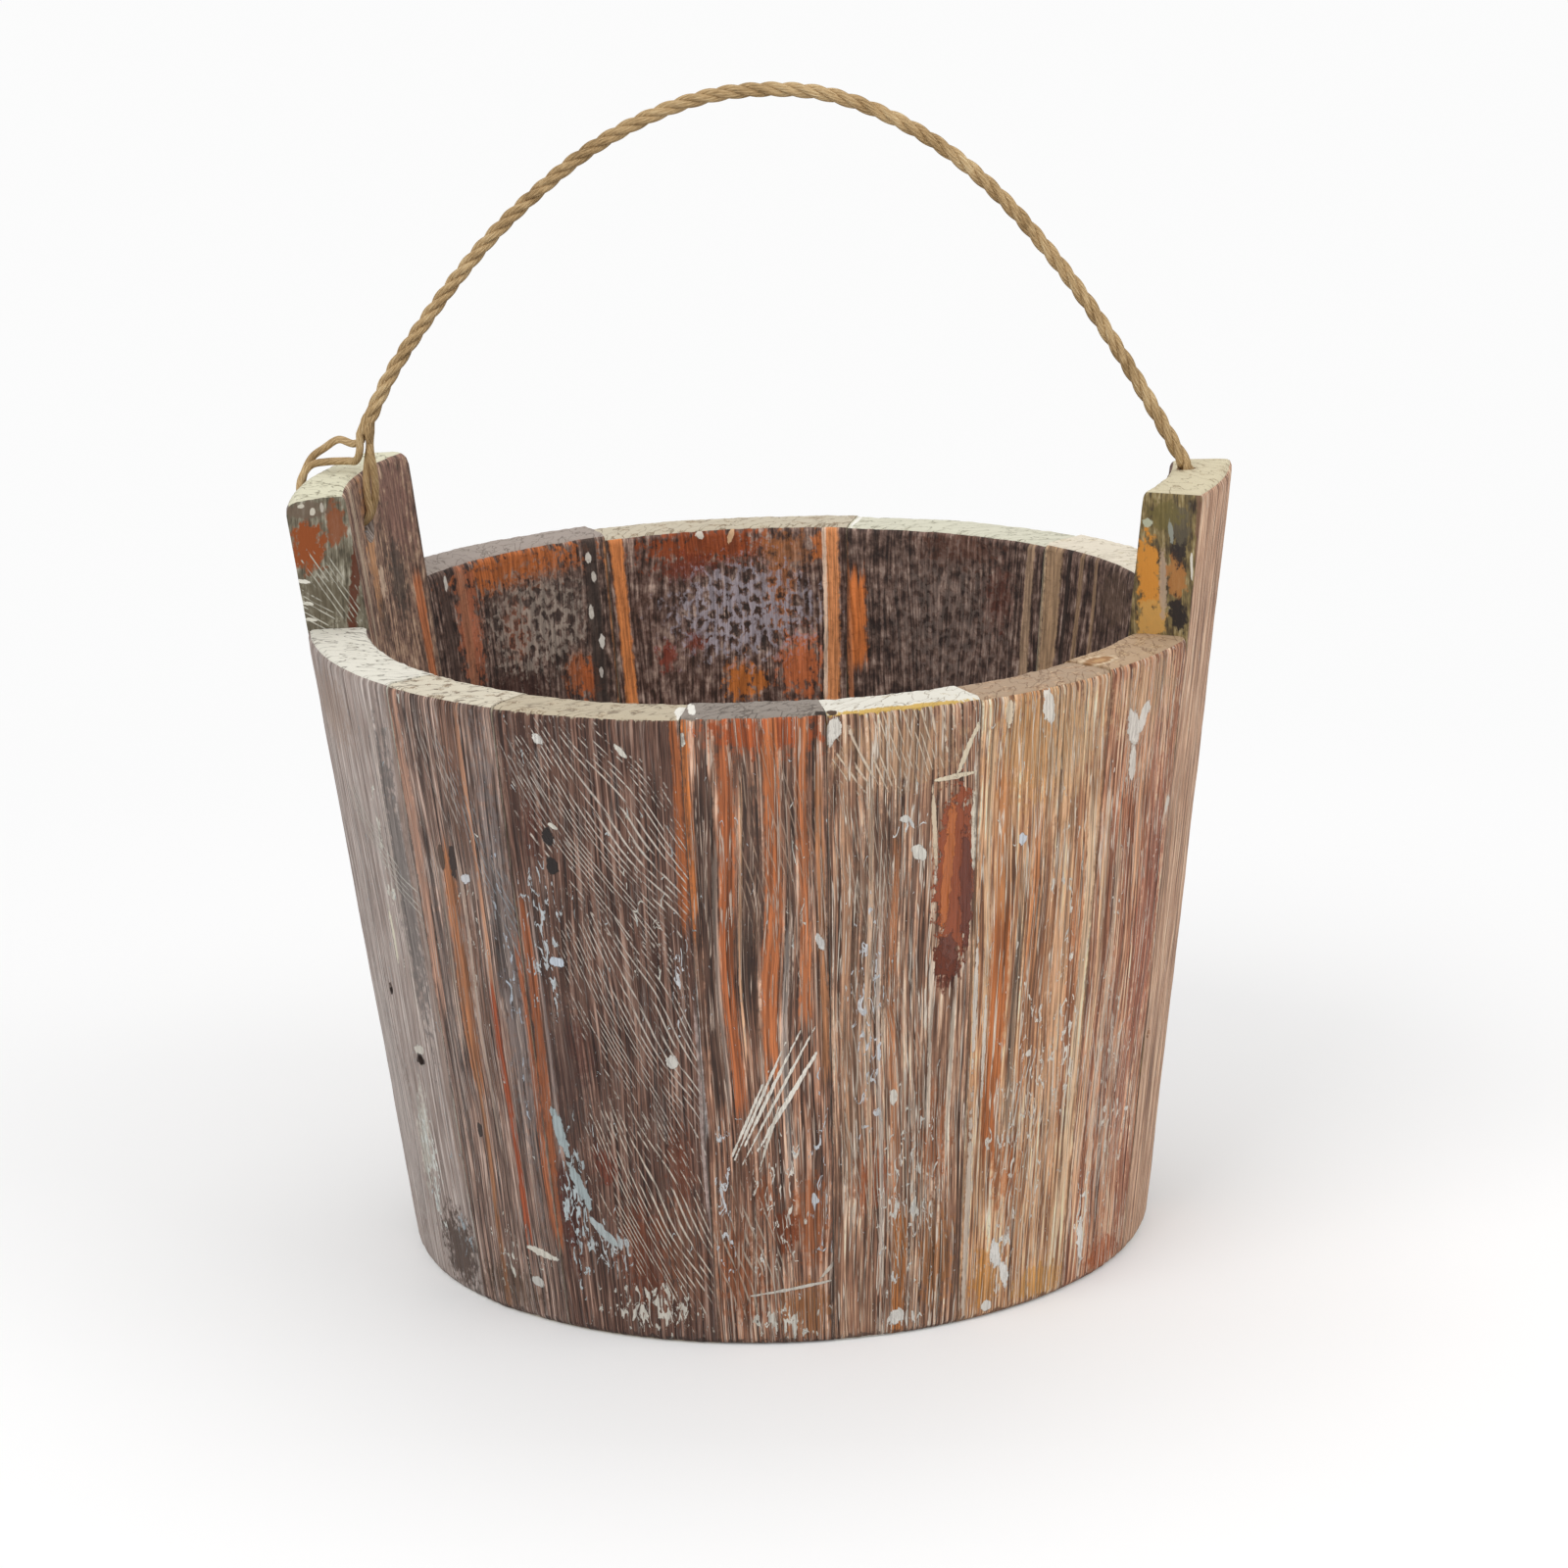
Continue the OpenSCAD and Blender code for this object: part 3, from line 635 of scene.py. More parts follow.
# What each stave looks like. Angles are degrees round the bucket, heights and sizes
# millimetres: patches are (angle, height, half width, half height, tilt, colour, strength),
# strips (angle, low end, high end, half width, colour, strength)
looks = {
    "front_stave_1": {
        "tones": ["#7b6f69", "#93857e", "#a2958f", "#aea5a0", "#c2bab5"],
        "soft": 1.2, "relief": 0.2, "light": (1.12, 1.07, 1.04), "lines": 0.15,
        "patches": [(214.6, 145, 7, 60, 0, "#6f6966", 0.85), (196, 60, 22, 60, 0, "#b3aca8", 0.6),
                    (213, 15, 14, 17, 0, "#4d3d34", 0.95), (199, 195, 22, 14, 0, "#9b8678", 0.5),
                    (207, 50, 6, 22, -12, "#c9c8be", 0.75)],
        "strips": [(217.4, 40, 212, 2.2, "#8a766b", 0.7), (212.0, 95, 205, 1.0, "#c0b6ae", 0.5)],
        "combed": [(211, 150, 6, 48, 50, 3.2, white, 0.5)],
        "specks": [(210, 150, 5, 44, 0.55, white), (208, 45, 9, 34, 0.8, "#d8d9d2"),
                   (215, 22, 8, 16, 0.5, bluish)],
        "chips": [(208.6, 124, 1.2, 11, 0, cream), (203.9, 101, 1.6, 2.6, -35, iron),
                  (210.6, 84, 3.6, 2.2, 20, "#cfc8bd"), (210.5, 80.5, 3.0, 2.2, 20, iron)],
        "endTones": ["#6e665a", "#a49c8c", "#c9c2b2"], "endColour": "#ddd9cc", "endPaint": 0.9,
    },
    "front_stave_2": {
        "tones": ["#44342e", "#614e46", "#7a645a", "#917a6e", "#b6a49a"],
        "relief": 0.45, "light": (1.02, 0.94, 0.89), "lines": 0.85,
        "patches": [(233.6, 130, 5.5, 90, 0, "#77706f", 0.75), (221, 110, 4, 60, 0, "#6c6461", 0.6),
                    (227.5, 110, 4, 45, 0, "#74594b", 0.7), (225, 10, 18, 9, 0, "#54402f", 0.7)],
        "strips": [(219.2, 105, 214, 2.6, "#b08c79", 0.9), (224.6, 84, 160, 3.3, "#a8714b", 0.95),
                   (224.3, -4, 86, 1.3, "#a0704b", 0.8), (230.4, 110, 214, 0.9, "#b08468", 0.8),
                   (230.3, 28, 118, 1.4, "#9c4f2e", 1), (235.4, 30, 132, 1.5, "#a15f3b", 0.9),
                   (222.6, 90, 158, 0.9, "#c4b3a6", 0.7), (227.0, 60, 158, 0.9, "#c4b3a6", 0.6),
                   (228.4, 165, 214, 3.2, "#7d5b49", 0.6)],
        "combed": [(226, 188, 9, 22, 12, 1.9, "#c3b6ab", 0.55),
                   (233.6, 150, 5, 55, 20, 1.5, bluish, 0.5)],
        "specks": [(233.6, 120, 6, 80, 0.35, "#b4bcc6"), (226, 20, 16, 16, 0.45, white),
                   (228, 130, 8, 30, 0.3, white)],
        "chips": [(226.2, 157, 1.5, 6, 0, iron), (224.2, 158, 1.4, 5, 0, "#5a4639"),
                  (232.6, 25, 7.2, 1.5, -9, "#ded8cb"), (223.4, 64, 1.6, 2.6, 0, iron),
                  (231, 14, 3, 2, 0, "#c9c6bf"), (228, 152, 2.4, 1.6, 20, "#cfcfd2")],
        "endTones": ["#6b5a4a", "#9a8871", "#bcae97"], "endColour": "#cfc6b2", "endPaint": 0.45,
    },
    "front_stave_3": {
        "tones": ["#3b2a24", "#523d34", "#67534a", "#7f6b61", "#a79a92"],
        "relief": 0.35, "light": (0.90, 0.68, 0.58), "lines": 0.25,
        "patches": [(250, 30, 12, 22, 0, "#74452c", 0.8), (256, 60, 6, 20, 0, "#74452c", 0.7),
                    (239.8, 190, 8, 24, 0, "#553f36", 0.7), (245.4, 60, 5, 8, 20, "#6e3a26", 0.9),
                    (238.6, 42, 6, 22, 0, "#50291d", 0.9), (241, 95, 8, 30, 0, "#4c3d3a", 0.6),
                    (256, 30, 10, 26, 0, "#7b5a45", 0.6), (243.5, 100, 6, 12, 0, "#5a3427", 0.5),
                    (240, 172, 5, 14, 0, "#5b2f20", 0.5)],
        "strips": [(236.6, 32, 150, 1.9, "#a56a42", 0.95), (259.4, 142, 214, 1.7, "#b0703f", 0.9),
                   (259.8, 44, 114, 0.9, "#c6c6ca", 0.9), (238.1, 60, 150, 0.8, "#b9bcc0", 0.5)],
        "combed": [(250.5, 172, 25, 44, 33, 1.6, "#d2c6ba", 0.95),
                   (252.5, 108, 21, 48, 25, 1.5, "#d0c4b8", 0.9),
                   (252.5, 45, 20, 42, 24, 1.6, "#d8cbbb", 0.95),
                   (240.4, 186, 5, 24, 25, 1.5, "#b5a9a0", 0.7)],
        "specks": [(239.6, 138, 9, 44, 0.62, "#c3c8ca"), (240, 44, 9, 40, 0.78, "#b7c0c2"), (250, 12, 26, 13, 0.8, "#d2ccc0"),
                   (254, 150, 14, 50, 0.25, white), (258, 130, 5, 50, 0.4, "#cfd0d2"),
                   (245, 30, 12, 16, 0.6, "#c2c6c6")],
        "chips": [(242.0, 171, 2.2, 2.8, 0, "#241a17"), (242.2, 161.5, 2.3, 2.9, 0, "#241a17"),
                  (242.9, 174.5, 1.8, 0.8, -30, white), (242.1, 202.5, 1.7, 2.0, 35, "#e4e0d8"),
                  (238.6, 70, 2.0, 10, 14, "#a9b5b6"), (240.8, 52, 1.9, 9, 24, "#a9b5b6"),
                  (243.8, 37, 1.6, 8, 46, "#b4bdbd"), (241.2, 129, 3.0, 1.6, 0, "#c8d0da"),
                  (256.2, 98, 2.2, 2.6, 0, "#d5d0c8"), (252.6, 201, 0.9, 3, 40, white)],
        "rimColour": "#b2a48c",
        "endTones": ["#6c5c4a", "#a08f76", "#c4b69c"], "endColour": "#b9ac94", "endPaint": 0.4,
        "endChips": [(259.4, 141, 2.2, 8, -12, "#e4e0d6")],
    },
    "front_stave_4": {
        "tones": ["#43322a", "#5d463b", "#7c5e4e", "#9c7a66", "#c4ac9b"],
        "relief": 0.5, "light": (1.14, 0.98, 0.88), "lines": 0.95,
        "patches": [(264, 26, 9, 20, 0, "#84502f", 0.8), (274, 44, 7, 18, 0, "#8f562f", 0.8),
                    (270, 207, 20, 9, 0, "#9a4f24", 0.95), (265, 60, 6, 40, 0, "#6e4f3f", 0.5),
                    (270.6, 40, 5, 11, 0, "#7a4120", 0.95), (267.6, 52, 4, 8, 0, "#7d4a2b", 0.8),
                    (273, 12, 12, 12, 0, "#8a6038", 0.7), (268.4, 150, 4, 40, 0, "#4a3c36", 0.6)],
        "strips": [(260.6, 142, 214, 2.0, "#b8743f", 1), (262.6, 84, 196, 2.4, "#3d2e28", 0.85),
                   (264.9, 82, 200, 2.1, "#a0613b", 1), (267.2, 112, 196, 1.6, "#443731", 0.8),
                   (269.9, 95, 214, 2.5, "#ab6a40", 0.95), (272.0, 108, 196, 1.2, "#5b483e", 0.8),
                   (273.9, 110, 214, 1.9, "#af7047", 0.95), (276.2, 90, 200, 1.4, "#a0734f", 0.8),
                   (263.6, 84, 168, 0.7, "#b7aca4", 0.6), (260.3, 70, 128, 0.8, "#ccd0d6", 0.9),
                   (271.6, 60, 138, 0.8, "#b9b6b4", 0.7), (266.4, 100, 190, 0.5, "#c9a98c", 0.7)],
        "combed": [(271, 165, 16, 44, 8, 1.5, "#c3a58e", 0.45),
                   (266, 30, 14, 30, 12, 1.9, "#c9bba9", 0.6)],
        "specks": [(262, 50, 5, 40, 0.6, "#cfd0d2"), (270, 50, 18, 44, 0.42, "#e0d8cc"), (270, 8, 20, 9, 0.75, white),
                   (273, 150, 6, 50, 0.3, white), (275, 60, 6, 40, 0.5, "#c9ccd0")],
        "chips": [(265.8, 79, 0.5, 16, -24, "#e9e2d6"), (267.3, 84, 0.55, 22, -24, "#e9e2d6"),
                  (268.7, 87, 0.6, 23, -26, "#efe8dc"), (270.2, 88, 0.5, 25, -28, "#e9e2d6"),
                  (271.4, 86, 0.8, 20, -31, "#efe8dc"), (268.6, 73, 0.5, 12, -18, "#e0d8ca"),
                  (275.8, 138, 1.1, 3.2, 20, "#dedbd6"), (260.2, 205, 1.0, 2.4, 0, white),
                  (271.5, 20, 17, 0.55, 9, "#d2cbc0"), (276.6, 27, 6, 0.6, 48, "#c9bfb2")],
        "rimColour": "#84786c",
        "endTones": ["#554a42", "#7b7066", "#9a9086"], "endColour": "#8a8077", "endPaint": 0.3,
        "endChips": [(260.8, 140, 1.4, 9, -14, "#e4e0d6"), (276.4, 148.5, 1.8, 1.6, 0, "#33271f")],
    },
    "front_stave_5": {
        "tones": ["#553f34", "#735747", "#8f6f5d", "#ad917c", "#d4c3b4"],
        "relief": 0.5, "light": (1.12, 0.98, 0.87), "lines": 0.95, "lineColour": "#e0d2c2",
        "patches": [(282, 56, 8, 16, 0, "#8c5230", 0.8), (291.5, 66, 7, 22, 0, "#96592f", 0.85),
                    (286, 198, 22, 16, 0, "#a68a70", 0.75), (283, 150, 10, 44, 0, "#6a5448", 0.6),
                    (292, 25, 8, 22, 0, "#96683f", 0.8), (280, 95, 6, 50, 0, "#8f7663", 0.5),
                    (292.5, 123, 6, 7, 0, "#5e2d1c", 0.95), (291, 75, 8, 30, 0, "#7a5c49", 0.5)],
        "strips": [(285.3, 40, 172, 1.5, "#a4714e", 0.8), (279.0, 60, 190, 1.1, "#a08068", 0.7),
                   (286.2, -4, 42, 3.0, "#a56d3a", 0.9), (281.6, 40, 186, 0.8, "#cdb7a2", 0.7),
                   (290.9, 72, 134, 0.6, "#d3ccc2", 0.9), (293.6, 52, 112, 0.7, "#d6cfc4", 0.9),
                   (288.0, 110, 186, 0.9, "#5c4a42", 0.7), (283.2, 20, 150, 0.7, "#c8c4c2", 0.6)],
        "combed": [(285.5, 200, 24, 15, 22, 2.0, "#dbc7b0", 0.95),
                   (281.5, 165, 9, 32, 12, 1.5, "#cdb8a4", 0.6),
                   (285, 70, 20, 60, 6, 1.7, "#cbbba9", 0.55)],
        "specks": [(282, 110, 9, 60, 0.5, "#d0d0d2"), (288, 50, 18, 50, 0.5, "#e0dad0"), (288, 60, 10, 40, 0.5, "#dcd6cc"),
                   (287, 6, 12, 6, 0.8, "#e2ddd4"), (288, 172, 6, 16, 0.4, "#dcdad6")],
        "chips": [(293.4, 155, 7.4, 31, 0, "#94451c", "shine"),
                  (292.2, 158, 1.7, 24, -3, "#b8642c"), (294.8, 150, 2.2, 22, 2, "#6b2c12"),
                  (292.4, 128, 4.5, 8, 0, "#6a2f18"),
                  (288.4, 164.5, 2.0, 3.4, 25, "#e2ddd2"), (286.4, 176, 1.6, 1.4, 0, "#d9d4cc"),
                  (290.3, 172, 0.8, 16, 4, "#d8c3a8"), (292.6, 187.6, 7, 0.9, 4, "#e3d3b8"),
                  (294.4, 196, 0.9, 9, -22, "#e3d3b8"), (295.6, 168, 0.9, 14, 2, "#e6d8c2"),
                  (277.6, 206, 2.4, 5, -20, "#e0dad0"), (285.4, 83, 1.4, 3, 0, "#e0d8cc"),
                  (286.2, 6.5, 3.0, 2.6, 0, "#e8e4dc")],
        "rimColour": "#c9a24e",
        "endTones": ["#9a8a72", "#c2b69e", "#ded6c4"], "endColour": "#dcd8cc", "endPaint": 0.8,
        "endChips": [(286, 149, 24, 2.0, 0, "#c9a65a"), (277.8, 148, 1.6, 1.8, 0, "#4a3524")],
    },
    "front_stave_6": {
        "tones": ["#6f503e", "#93694f", "#b08b6c", "#c9a78b", "#e6cfb8"],
        "relief": 0.42, "light": (1.20, 1.07, 0.93), "lines": 0.9, "lineColour": "#ecdcc8",
        "patches": [(303, 52, 7, 16, 0, "#a3612f", 0.7), (312.5, 96, 5, 30, 0, "#9a6344", 0.6),
                    (304.5, 194, 18, 24, 0, "#b58c60", 0.8), (310, 190, 12, 24, 0, "#c0a486", 0.6),
                    (300.5, 14, 7, 14, 0, "#b38142", 0.85), (311, 7, 14, 8, 0, "#b98c4e", 0.85),
                    (307, 120, 8, 50, 0, "#94694c", 0.6), (313.6, 120, 4, 50, 0, "#9a6647", 0.6)],
        "strips": [(300.0, 60, 142, 2.9, "#a5663b", 1), (299.8, 136, 190, 1.8, "#b07a50", 0.8),
                   (302.5, 68, 140, 1.2, "#6d6259", 0.8), (304.5, 74, 172, 1.6, "#b0754b", 0.8),
                   (306.4, 70, 150, 1.1, "#7d5a47", 0.7), (310.6, 40, 160, 3.4, "#cfa88a", 0.85),
                   (314.8, 20, 170, 1.8, "#dac2a9", 0.8), (312.6, 60, 180, 1.0, "#8f5f43", 0.6),
                   (298.2, 100, 200, 0.8, "#ceb296", 0.8), (309.0, 150, 214, 0.7, "#9a7a5c", 0.6)],
        "combed": [(306, 196, 24, 17, 3, 1.5, "#d9c09e", 0.6), (306, 42, 16, 34, -8, 2.0, "#dccbb6", 0.7),
                   (305.0, 74, 4, 18, -14, 2.2, "#d9d0c4", 0.9)],
        "specks": [(312, 90, 10, 60, 0.5, "#e8dfd2"), (306, 70, 20, 70, 0.42, "#e8dfd2"), (303, 20, 8, 18, 0.6, "#ece7de"),
                   (310, 150, 14, 40, 0.25, "#e2d8cb")],
        "chips": [(296.9, 36, 1.1, 44, 0, "#cdbba9"), (296.8, 112, 0.8, 22, 0, "#ddd0c2"),
                  (298.4, 96, 0.7, 18, 0, "#dccfc0"), (305.6, 205, 2.2, 6.5, 12, "#e8e0d4"),
                  (302.8, 163, 1.6, 2.0, 0, "#d2d6dc"), (302.0, 22, 1.9, 5.5, 12, "#ece9e3"),
                  (303.9, 14, 2.0, 5.0, 14, "#ece9e3"), (300.9, 4, 2.2, 2.2, 0, "#e8e4dc"),
                  (305.9, 89.5, 1.3, 1.5, 0, "#e0d6ca"), (299.9, 205, 1.2, 5, 0, "#dcc9ae")],
        "endTones": ["#7d6148", "#a5866a", "#c4a88a"], "endColour": "#a88f76", "endPaint": 0.3,
    },
    "front_stave_7": {
        "tones": ["#6e4836", "#8a6049", "#a67c62", "#bf9b82", "#e0c8b4"],
        "relief": 0.42, "light": (1.16, 0.98, 0.87), "lines": 0.9, "lineColour": "#ead8c6",
        "patches": [(330, 120, 10, 60, 0, "#965f4c", 0.75), (321.5, 158, 8, 16, 0, "#925a3c", 0.7),
                    (326.5, 6, 14, 8, 0, "#9d5a30", 0.9), (324, 200, 22, 14, 0, "#bda283", 0.7),
                    (327, 60, 6, 30, 0, "#a88273", 0.6), (331, 30, 6, 26, 0, "#8d5c47", 0.7)],
        "strips": [(325.2, 128, 214, 1.8, "#cda384", 0.85), (328.2, 60, 200, 1.6, "#a1705a", 0.6),
                   (320.4, 40, 160, 1.1, "#dcc8b4", 0.8), (317.6, 30, 170, 1.3, "#d4b698", 0.7),
                   (318.9, 70, 165, 1.2, "#86573f", 0.7), (322.8, 60, 150, 1.1, "#7f5140", 0.6)],
        "combed": [(322, 60, 12, 50, 4, 2.2, "#dccdbd", 0.6), (326, 190, 18, 20, -6, 1.7, "#d9c4ac", 0.5)],
        "specks": [(319.5, 26, 7, 24, 0.7, "#e9e2d8"), (325, 60, 18, 60, 0.4, "#e6dacb"), (321, 110, 7, 50, 0.4, "#e0d4c6"),
                   (331, 130, 5, 50, 0.3, "#e0cfc0")],
        "chips": [(321.5, 190, 3.2, 7, 24, "#e8dfd4"), (323.6, 192, 2.4, 6, -24, "#e8dfd4"),
                  (322.0, 178, 1.9, 6.5, 6, "#e4dace"), (329.8, 55, 2.0, 0.9, -8, "#ece4da"),
                  (319.6, 17, 1.9, 9, 8, "#ece7df"), (333.0, 157, 1.6, 3.2, -20, "#e2d6c8")],
        "endTones": ["#7d5f42", "#a98a68", "#cbb08d"], "endColour": "#b4987a", "endPaint": 0.25,
        "endChips": [(318.4, 140, 7.5, 5.4, 0, "#d8c2a2"), (318.4, 140, 6.2, 4.2, 0, "#9a7046"),
                     (318.2, 140.4, 3.4, 1.8, 0, "#b78e60")],
    },
    "ear_stave_right": {
        "tones": ["#8f7464", "#a98b79", "#bda08d", "#ccb3a0", "#e0ccbb"],
        "relief": 0.25, "light": (1.08, 0.92, 0.78), "lines": 0.3,
        "patches": [(345, 60, 26, 60, 0, "#b3a297", 0.7), (337, 200, 8, 30, 0, "#c49266", 0.6),
                    (346, 235, 30, 26, 0, "#c0a591", 0.6)],
        "strips": [(335.2, 60, 262, 2.2, "#c09068", 0.7), (339.5, 120, 250, 1.4, "#a3806a", 0.6),
                   (343.5, 20, 240, 2.0, "#b59a88", 0.6), (350, 40, 230, 2.6, "#a58b7b", 0.6)],
        "specks": [(336, 95, 5, 60, 0.5, "#e0d4c8"), (346, 120, 20, 80, 0.15, "#dccfc2")],
        "chips": [(335.4, 77, 1.6, 1.8, 0, iron), (336, 62, 2.6, 3.4, 0, "#d8cabc")],
        "endTones": ["#938061", "#b8a88a", "#d0c4a6"], "endColour": "#cdc2a4", "endPaint": 0.7,
        "endChips": [(346, 149, 6, 1.2, 8, "#a5997c"), (348, 146.5, 4, 0.7, 0, "#9c9076")],
        "sideTones": ["#33281f", "#54462f", "#76653f", "#8f7c52", "#b5a681"],
        "sidePatches": [(137.2, 230, 4.4, 17, 0, "#cf8a34", 1), (138, 217, 5.5, 8, 0, "#c99a52", 0.95),
                        (142, 230, 1.6, 13, 0, "#b39a84", 0.8),
                        (146.5, 231, 3.6, 9, 0, "#a9713a", 0.9), (147.8, 241.5, 2.6, 7.5, -6, "#2a2220", 0.95),
                        (147, 219.5, 3.2, 7, 14, "#241b18", 0.98), (147.5, 249, 5, 8, 0, "#5f5644", 0.8),
                        (143, 251, 6, 6, 0, "#6e6233", 0.7), (154.3, 240, 1.5, 30, 0, "#7d5a48", 0.7)],
        "sideChips": [(136.8, 248.5, 2.0, 1.5, 0, "#b3b59c"), (144.8, 246, 0.9, 4, 6, "#8f9186"),
                      (151.6, 235, 0.5, 5, 0, "#d9d3c6")],
    },
    "ear_stave_left": {
        "tones": ["#6b5f58", "#857870", "#988b83", "#a79c95", "#c0b6af"],
        "soft": 1.1, "relief": 0.3, "light": (0.88, 0.82, 0.77), "lines": 0.3,
        "patches": [(165, 150, 24, 60, 0, "#8a7d76", 0.6), (176, 60, 20, 50, 0, "#a59b96", 0.6),
                    (160, 220, 16, 24, 0, "#7b5b48", 0.5)],
        "strips": [(158, 20, 240, 2.2, "#8f6f5b", 0.6), (172, 60, 200, 1.2, "#c1b6ad", 0.6)],
        "specks": [(180, 140, 16, 80, 0.35, white), (160, 60, 16, 40, 0.45, bluish)],
        "endTones": ["#7c7358", "#aaa285", "#c8c2a6"], "endColour": "#d6d2b8", "endPaint": 0.95,
        "sideTones": ["#4a4436", "#655d4c", "#7c7563", "#938d7c", "#bfb9a8"],
        "sidePatches": [(148, 240, 6.5, 10, 0, "#8f4718", 1), (139, 247, 4, 8, 0, "#8a4a24", 0.85),
                        (148, 252, 8, 3.5, 0, "#6a5848", 0.85), (133.8, 226, 2.0, 36, 7, "#5c2c16", 0.95),
                        (144, 222, 9, 10, 0, "#5d5340", 0.7)],
        "sideCombed": [(140.5, 226, 7, 15, -30, 1.7, "#b9b5a6", 0.95),
                       (147, 218, 7, 8, -56, 1.7, "#c6c2b4", 0.95)],
        "sideChips": [(150.4, 228.5, 2.6, 0.7, 10, "#e2ded2"), (149.4, 221, 2.2, 0.6, 8, "#d8d4c6"),
                      (148.9, 215.6, 2.4, 0.6, 8, "#d8d4c6"), (149.8, 253.6, 1.2, 0.9, 0, "#c9c2b2"),
                      (146, 251.6, 1.0, 1.4, 20, "#c9c2b2"), (143, 252.6, 0.8, 1.6, 0, "#b5ada0")],
        "innerTones": ["#54453d", "#6d5a50", "#836d61", "#97816f", "#b7a594"],
        "innerPatches": [(158, 240, 15, 22, 0, "#7b6058", 0.8), (170, 228, 6, 26, 0, "#ad8663", 0.85),
                         (177, 235, 5, 40, 0, "#9c8f80", 0.75), (167, 218, 4, 7, 0, "#c6b5a3", 0.85),
                         (161, 216, 8, 16, 0, "#494440", 0.75), (169, 204, 5, 10, 0, "#4d4540", 0.6)],
        "innerStrips": [(154.5, 160, 215, 2.8, "#ad6c45", 0.9), (180.5, 200, 262, 1.5, "#55352a", 0.8),
                        (177.5, 180, 262, 1.4, "#b5a896", 0.7)],
    },
    "back_stave_4": {
        "tones": ["#4a3a32", "#655147", "#7d675b", "#948075", "#b8a79b"],
        "innerTones": darkInside,
        "innerPatches": [(132, 207, 34, 9, 0, "#a5602f", 0.95), (133, 186, 7, 14, 0, "#a05c38", 0.85),
                         (143, 190, 8, 26, 0, "#9a5f44", 0.9), (122, 166, 7, 9, 0, "#9a5a34", 0.85),
                         (128, 190, 26, 18, 0, "#5d524d", 0.6), (120, 163, 6, 8, 0, "#a25a30", 0.9),
                         (134, 165, 18, 10, 0, "#3a211a", 0.8)],
        "webs": [(129, 186, 28, 22, "#9a938c", 0.75)],
        "innerStrips": [(148.3, 150, 214, 2.4, "#453732", 0.8), (144, 150, 214, 2.6, "#96684f", 0.8),
                        (118.4, 140, 214, 2.6, "#3b322e", 0.9), (115.6, 140, 214, 1.0, "#a87850", 0.8)],
        "innerChips": [(118.2, 206, 1.4, 2, 0, "#ddd6ca"), (117.6, 199, 1.2, 2, 0, "#d8d0c4"),
                       (118.6, 187, 1.2, 2.6, 0, "#d8d0c4"), (117.2, 176, 1.5, 2.6, 0, "#e2dcd2"),
                       (117.8, 165, 1.0, 2.2, 0, "#ccc4ba"), (147.4, 208, 1.2, 3, 0, "#d8d2c8")],
        "endTones": ["#75695f", "#968a80", "#ada298"], "endColour": "#a0938a", "endPaint": 0.5,
    },
    "back_stave_3": {
        "tones": ["#43332b", "#5e4a40", "#785f52", "#947a6b", "#bca797"],
        "innerTones": brownInside,
        "innerPatches": [(98, 206, 30, 8, 0, "#84401a", 0.95), (87, 190, 7, 20, 0, "#a3683c", 0.7),
                         (94, 157, 7, 9, 0, "#b56c2c", 0.9), (106, 168, 5, 6, 0, "#7a3524", 0.8), (102, 199, 12, 6, 0, "#6e3018", 0.8),
                         (101, 172, 5, 5, 0, "#7f3c28", 0.7), (86, 203, 12, 8, 0, "#96653f", 0.6),
                         (91, 157, 4, 6, 0, "#b06a2c", 0.9), (84, 163, 10, 15, 0, "#b2653a", 0.9),
                         (80, 205, 5, 6, 0, "#b3682f", 0.8)],
        "webs": [(93, 182, 34, 21, "#9593a0", 0.95)],
        "innerStrips": [(112.9, 130, 214, 3.0, "#c07c48", 1), (78.4, 120, 214, 3.6, "#c98a5a", 0.95),
                        (79.6, 150, 214, 1.0, "#d5c6b6", 0.8)],
        "innerChips": [(99.5, 210, 1.6, 1.6, 0, "#dcd2c4"), (94.6, 209, 1.2, 3, 20, "#d9b189")],
        "endTones": ["#7c684f", "#a6937a", "#c9bda6"], "endColour": "#c3b8a2", "endPaint": 0.5,
    },
    "back_stave_2": {
        "tones": ["#4c392f", "#684f42", "#836653", "#9f816b", "#c6ae98"],
        "innerTones": darkInside,
        "innerPatches": [(57, 206, 20, 8, 0, "#5a3a2c", 0.6), (49, 190, 8, 14, 0, "#67392a", 0.5)],
        "webs": [(58, 180, 36, 34, "#7d7470", 0.4)],
        "innerStrips": [(74.8, 162, 194, 5.5, "#c2733a", 0.95), (75.6, 120, 214, 1.2, "#a06a48", 0.8),
                        (42.8, 120, 214, 2.2, "#9a8671", 0.9)],
        "endTones": ["#8a8570", "#b1ac96", "#cfccb8"], "endColour": "#d2cfbb", "endPaint": 0.7,
        "endChips": [(75.4, 140, 1.2, 11, 0, "#ebe8de")],
    },
    "back_stave_1": {
        "tones": ["#5a4538", "#79604f", "#937863", "#ae9279", "#d0bba2"],
        "innerTones": darkInside,
        "innerPatches": [(20, 200, 16, 12, 0, "#5d4d40", 0.5)],
        "innerStrips": [(37.9, 120, 214, 4.0, "#9c866c", 0.95), (39.7, 120, 214, 0.7, "#cbb99c", 0.8),
                        (31.5, 120, 214, 1.4, "#8f7a62", 0.8), (27.6, 120, 214, 1.2, "#8f7a62", 0.7),
                        (34.7, 120, 214, 1.2, "#2c2320", 0.9)],
        "endTones": ["#a3947a", "#c4b79c", "#dcd2bc"], "endColour": "#ddd3c0", "endPaint": 0.75,
    },
}
spareMarks = [orange, "#a8896f", rust, tan, "#5d4a40", "#b9a795", "#8f6a50"]


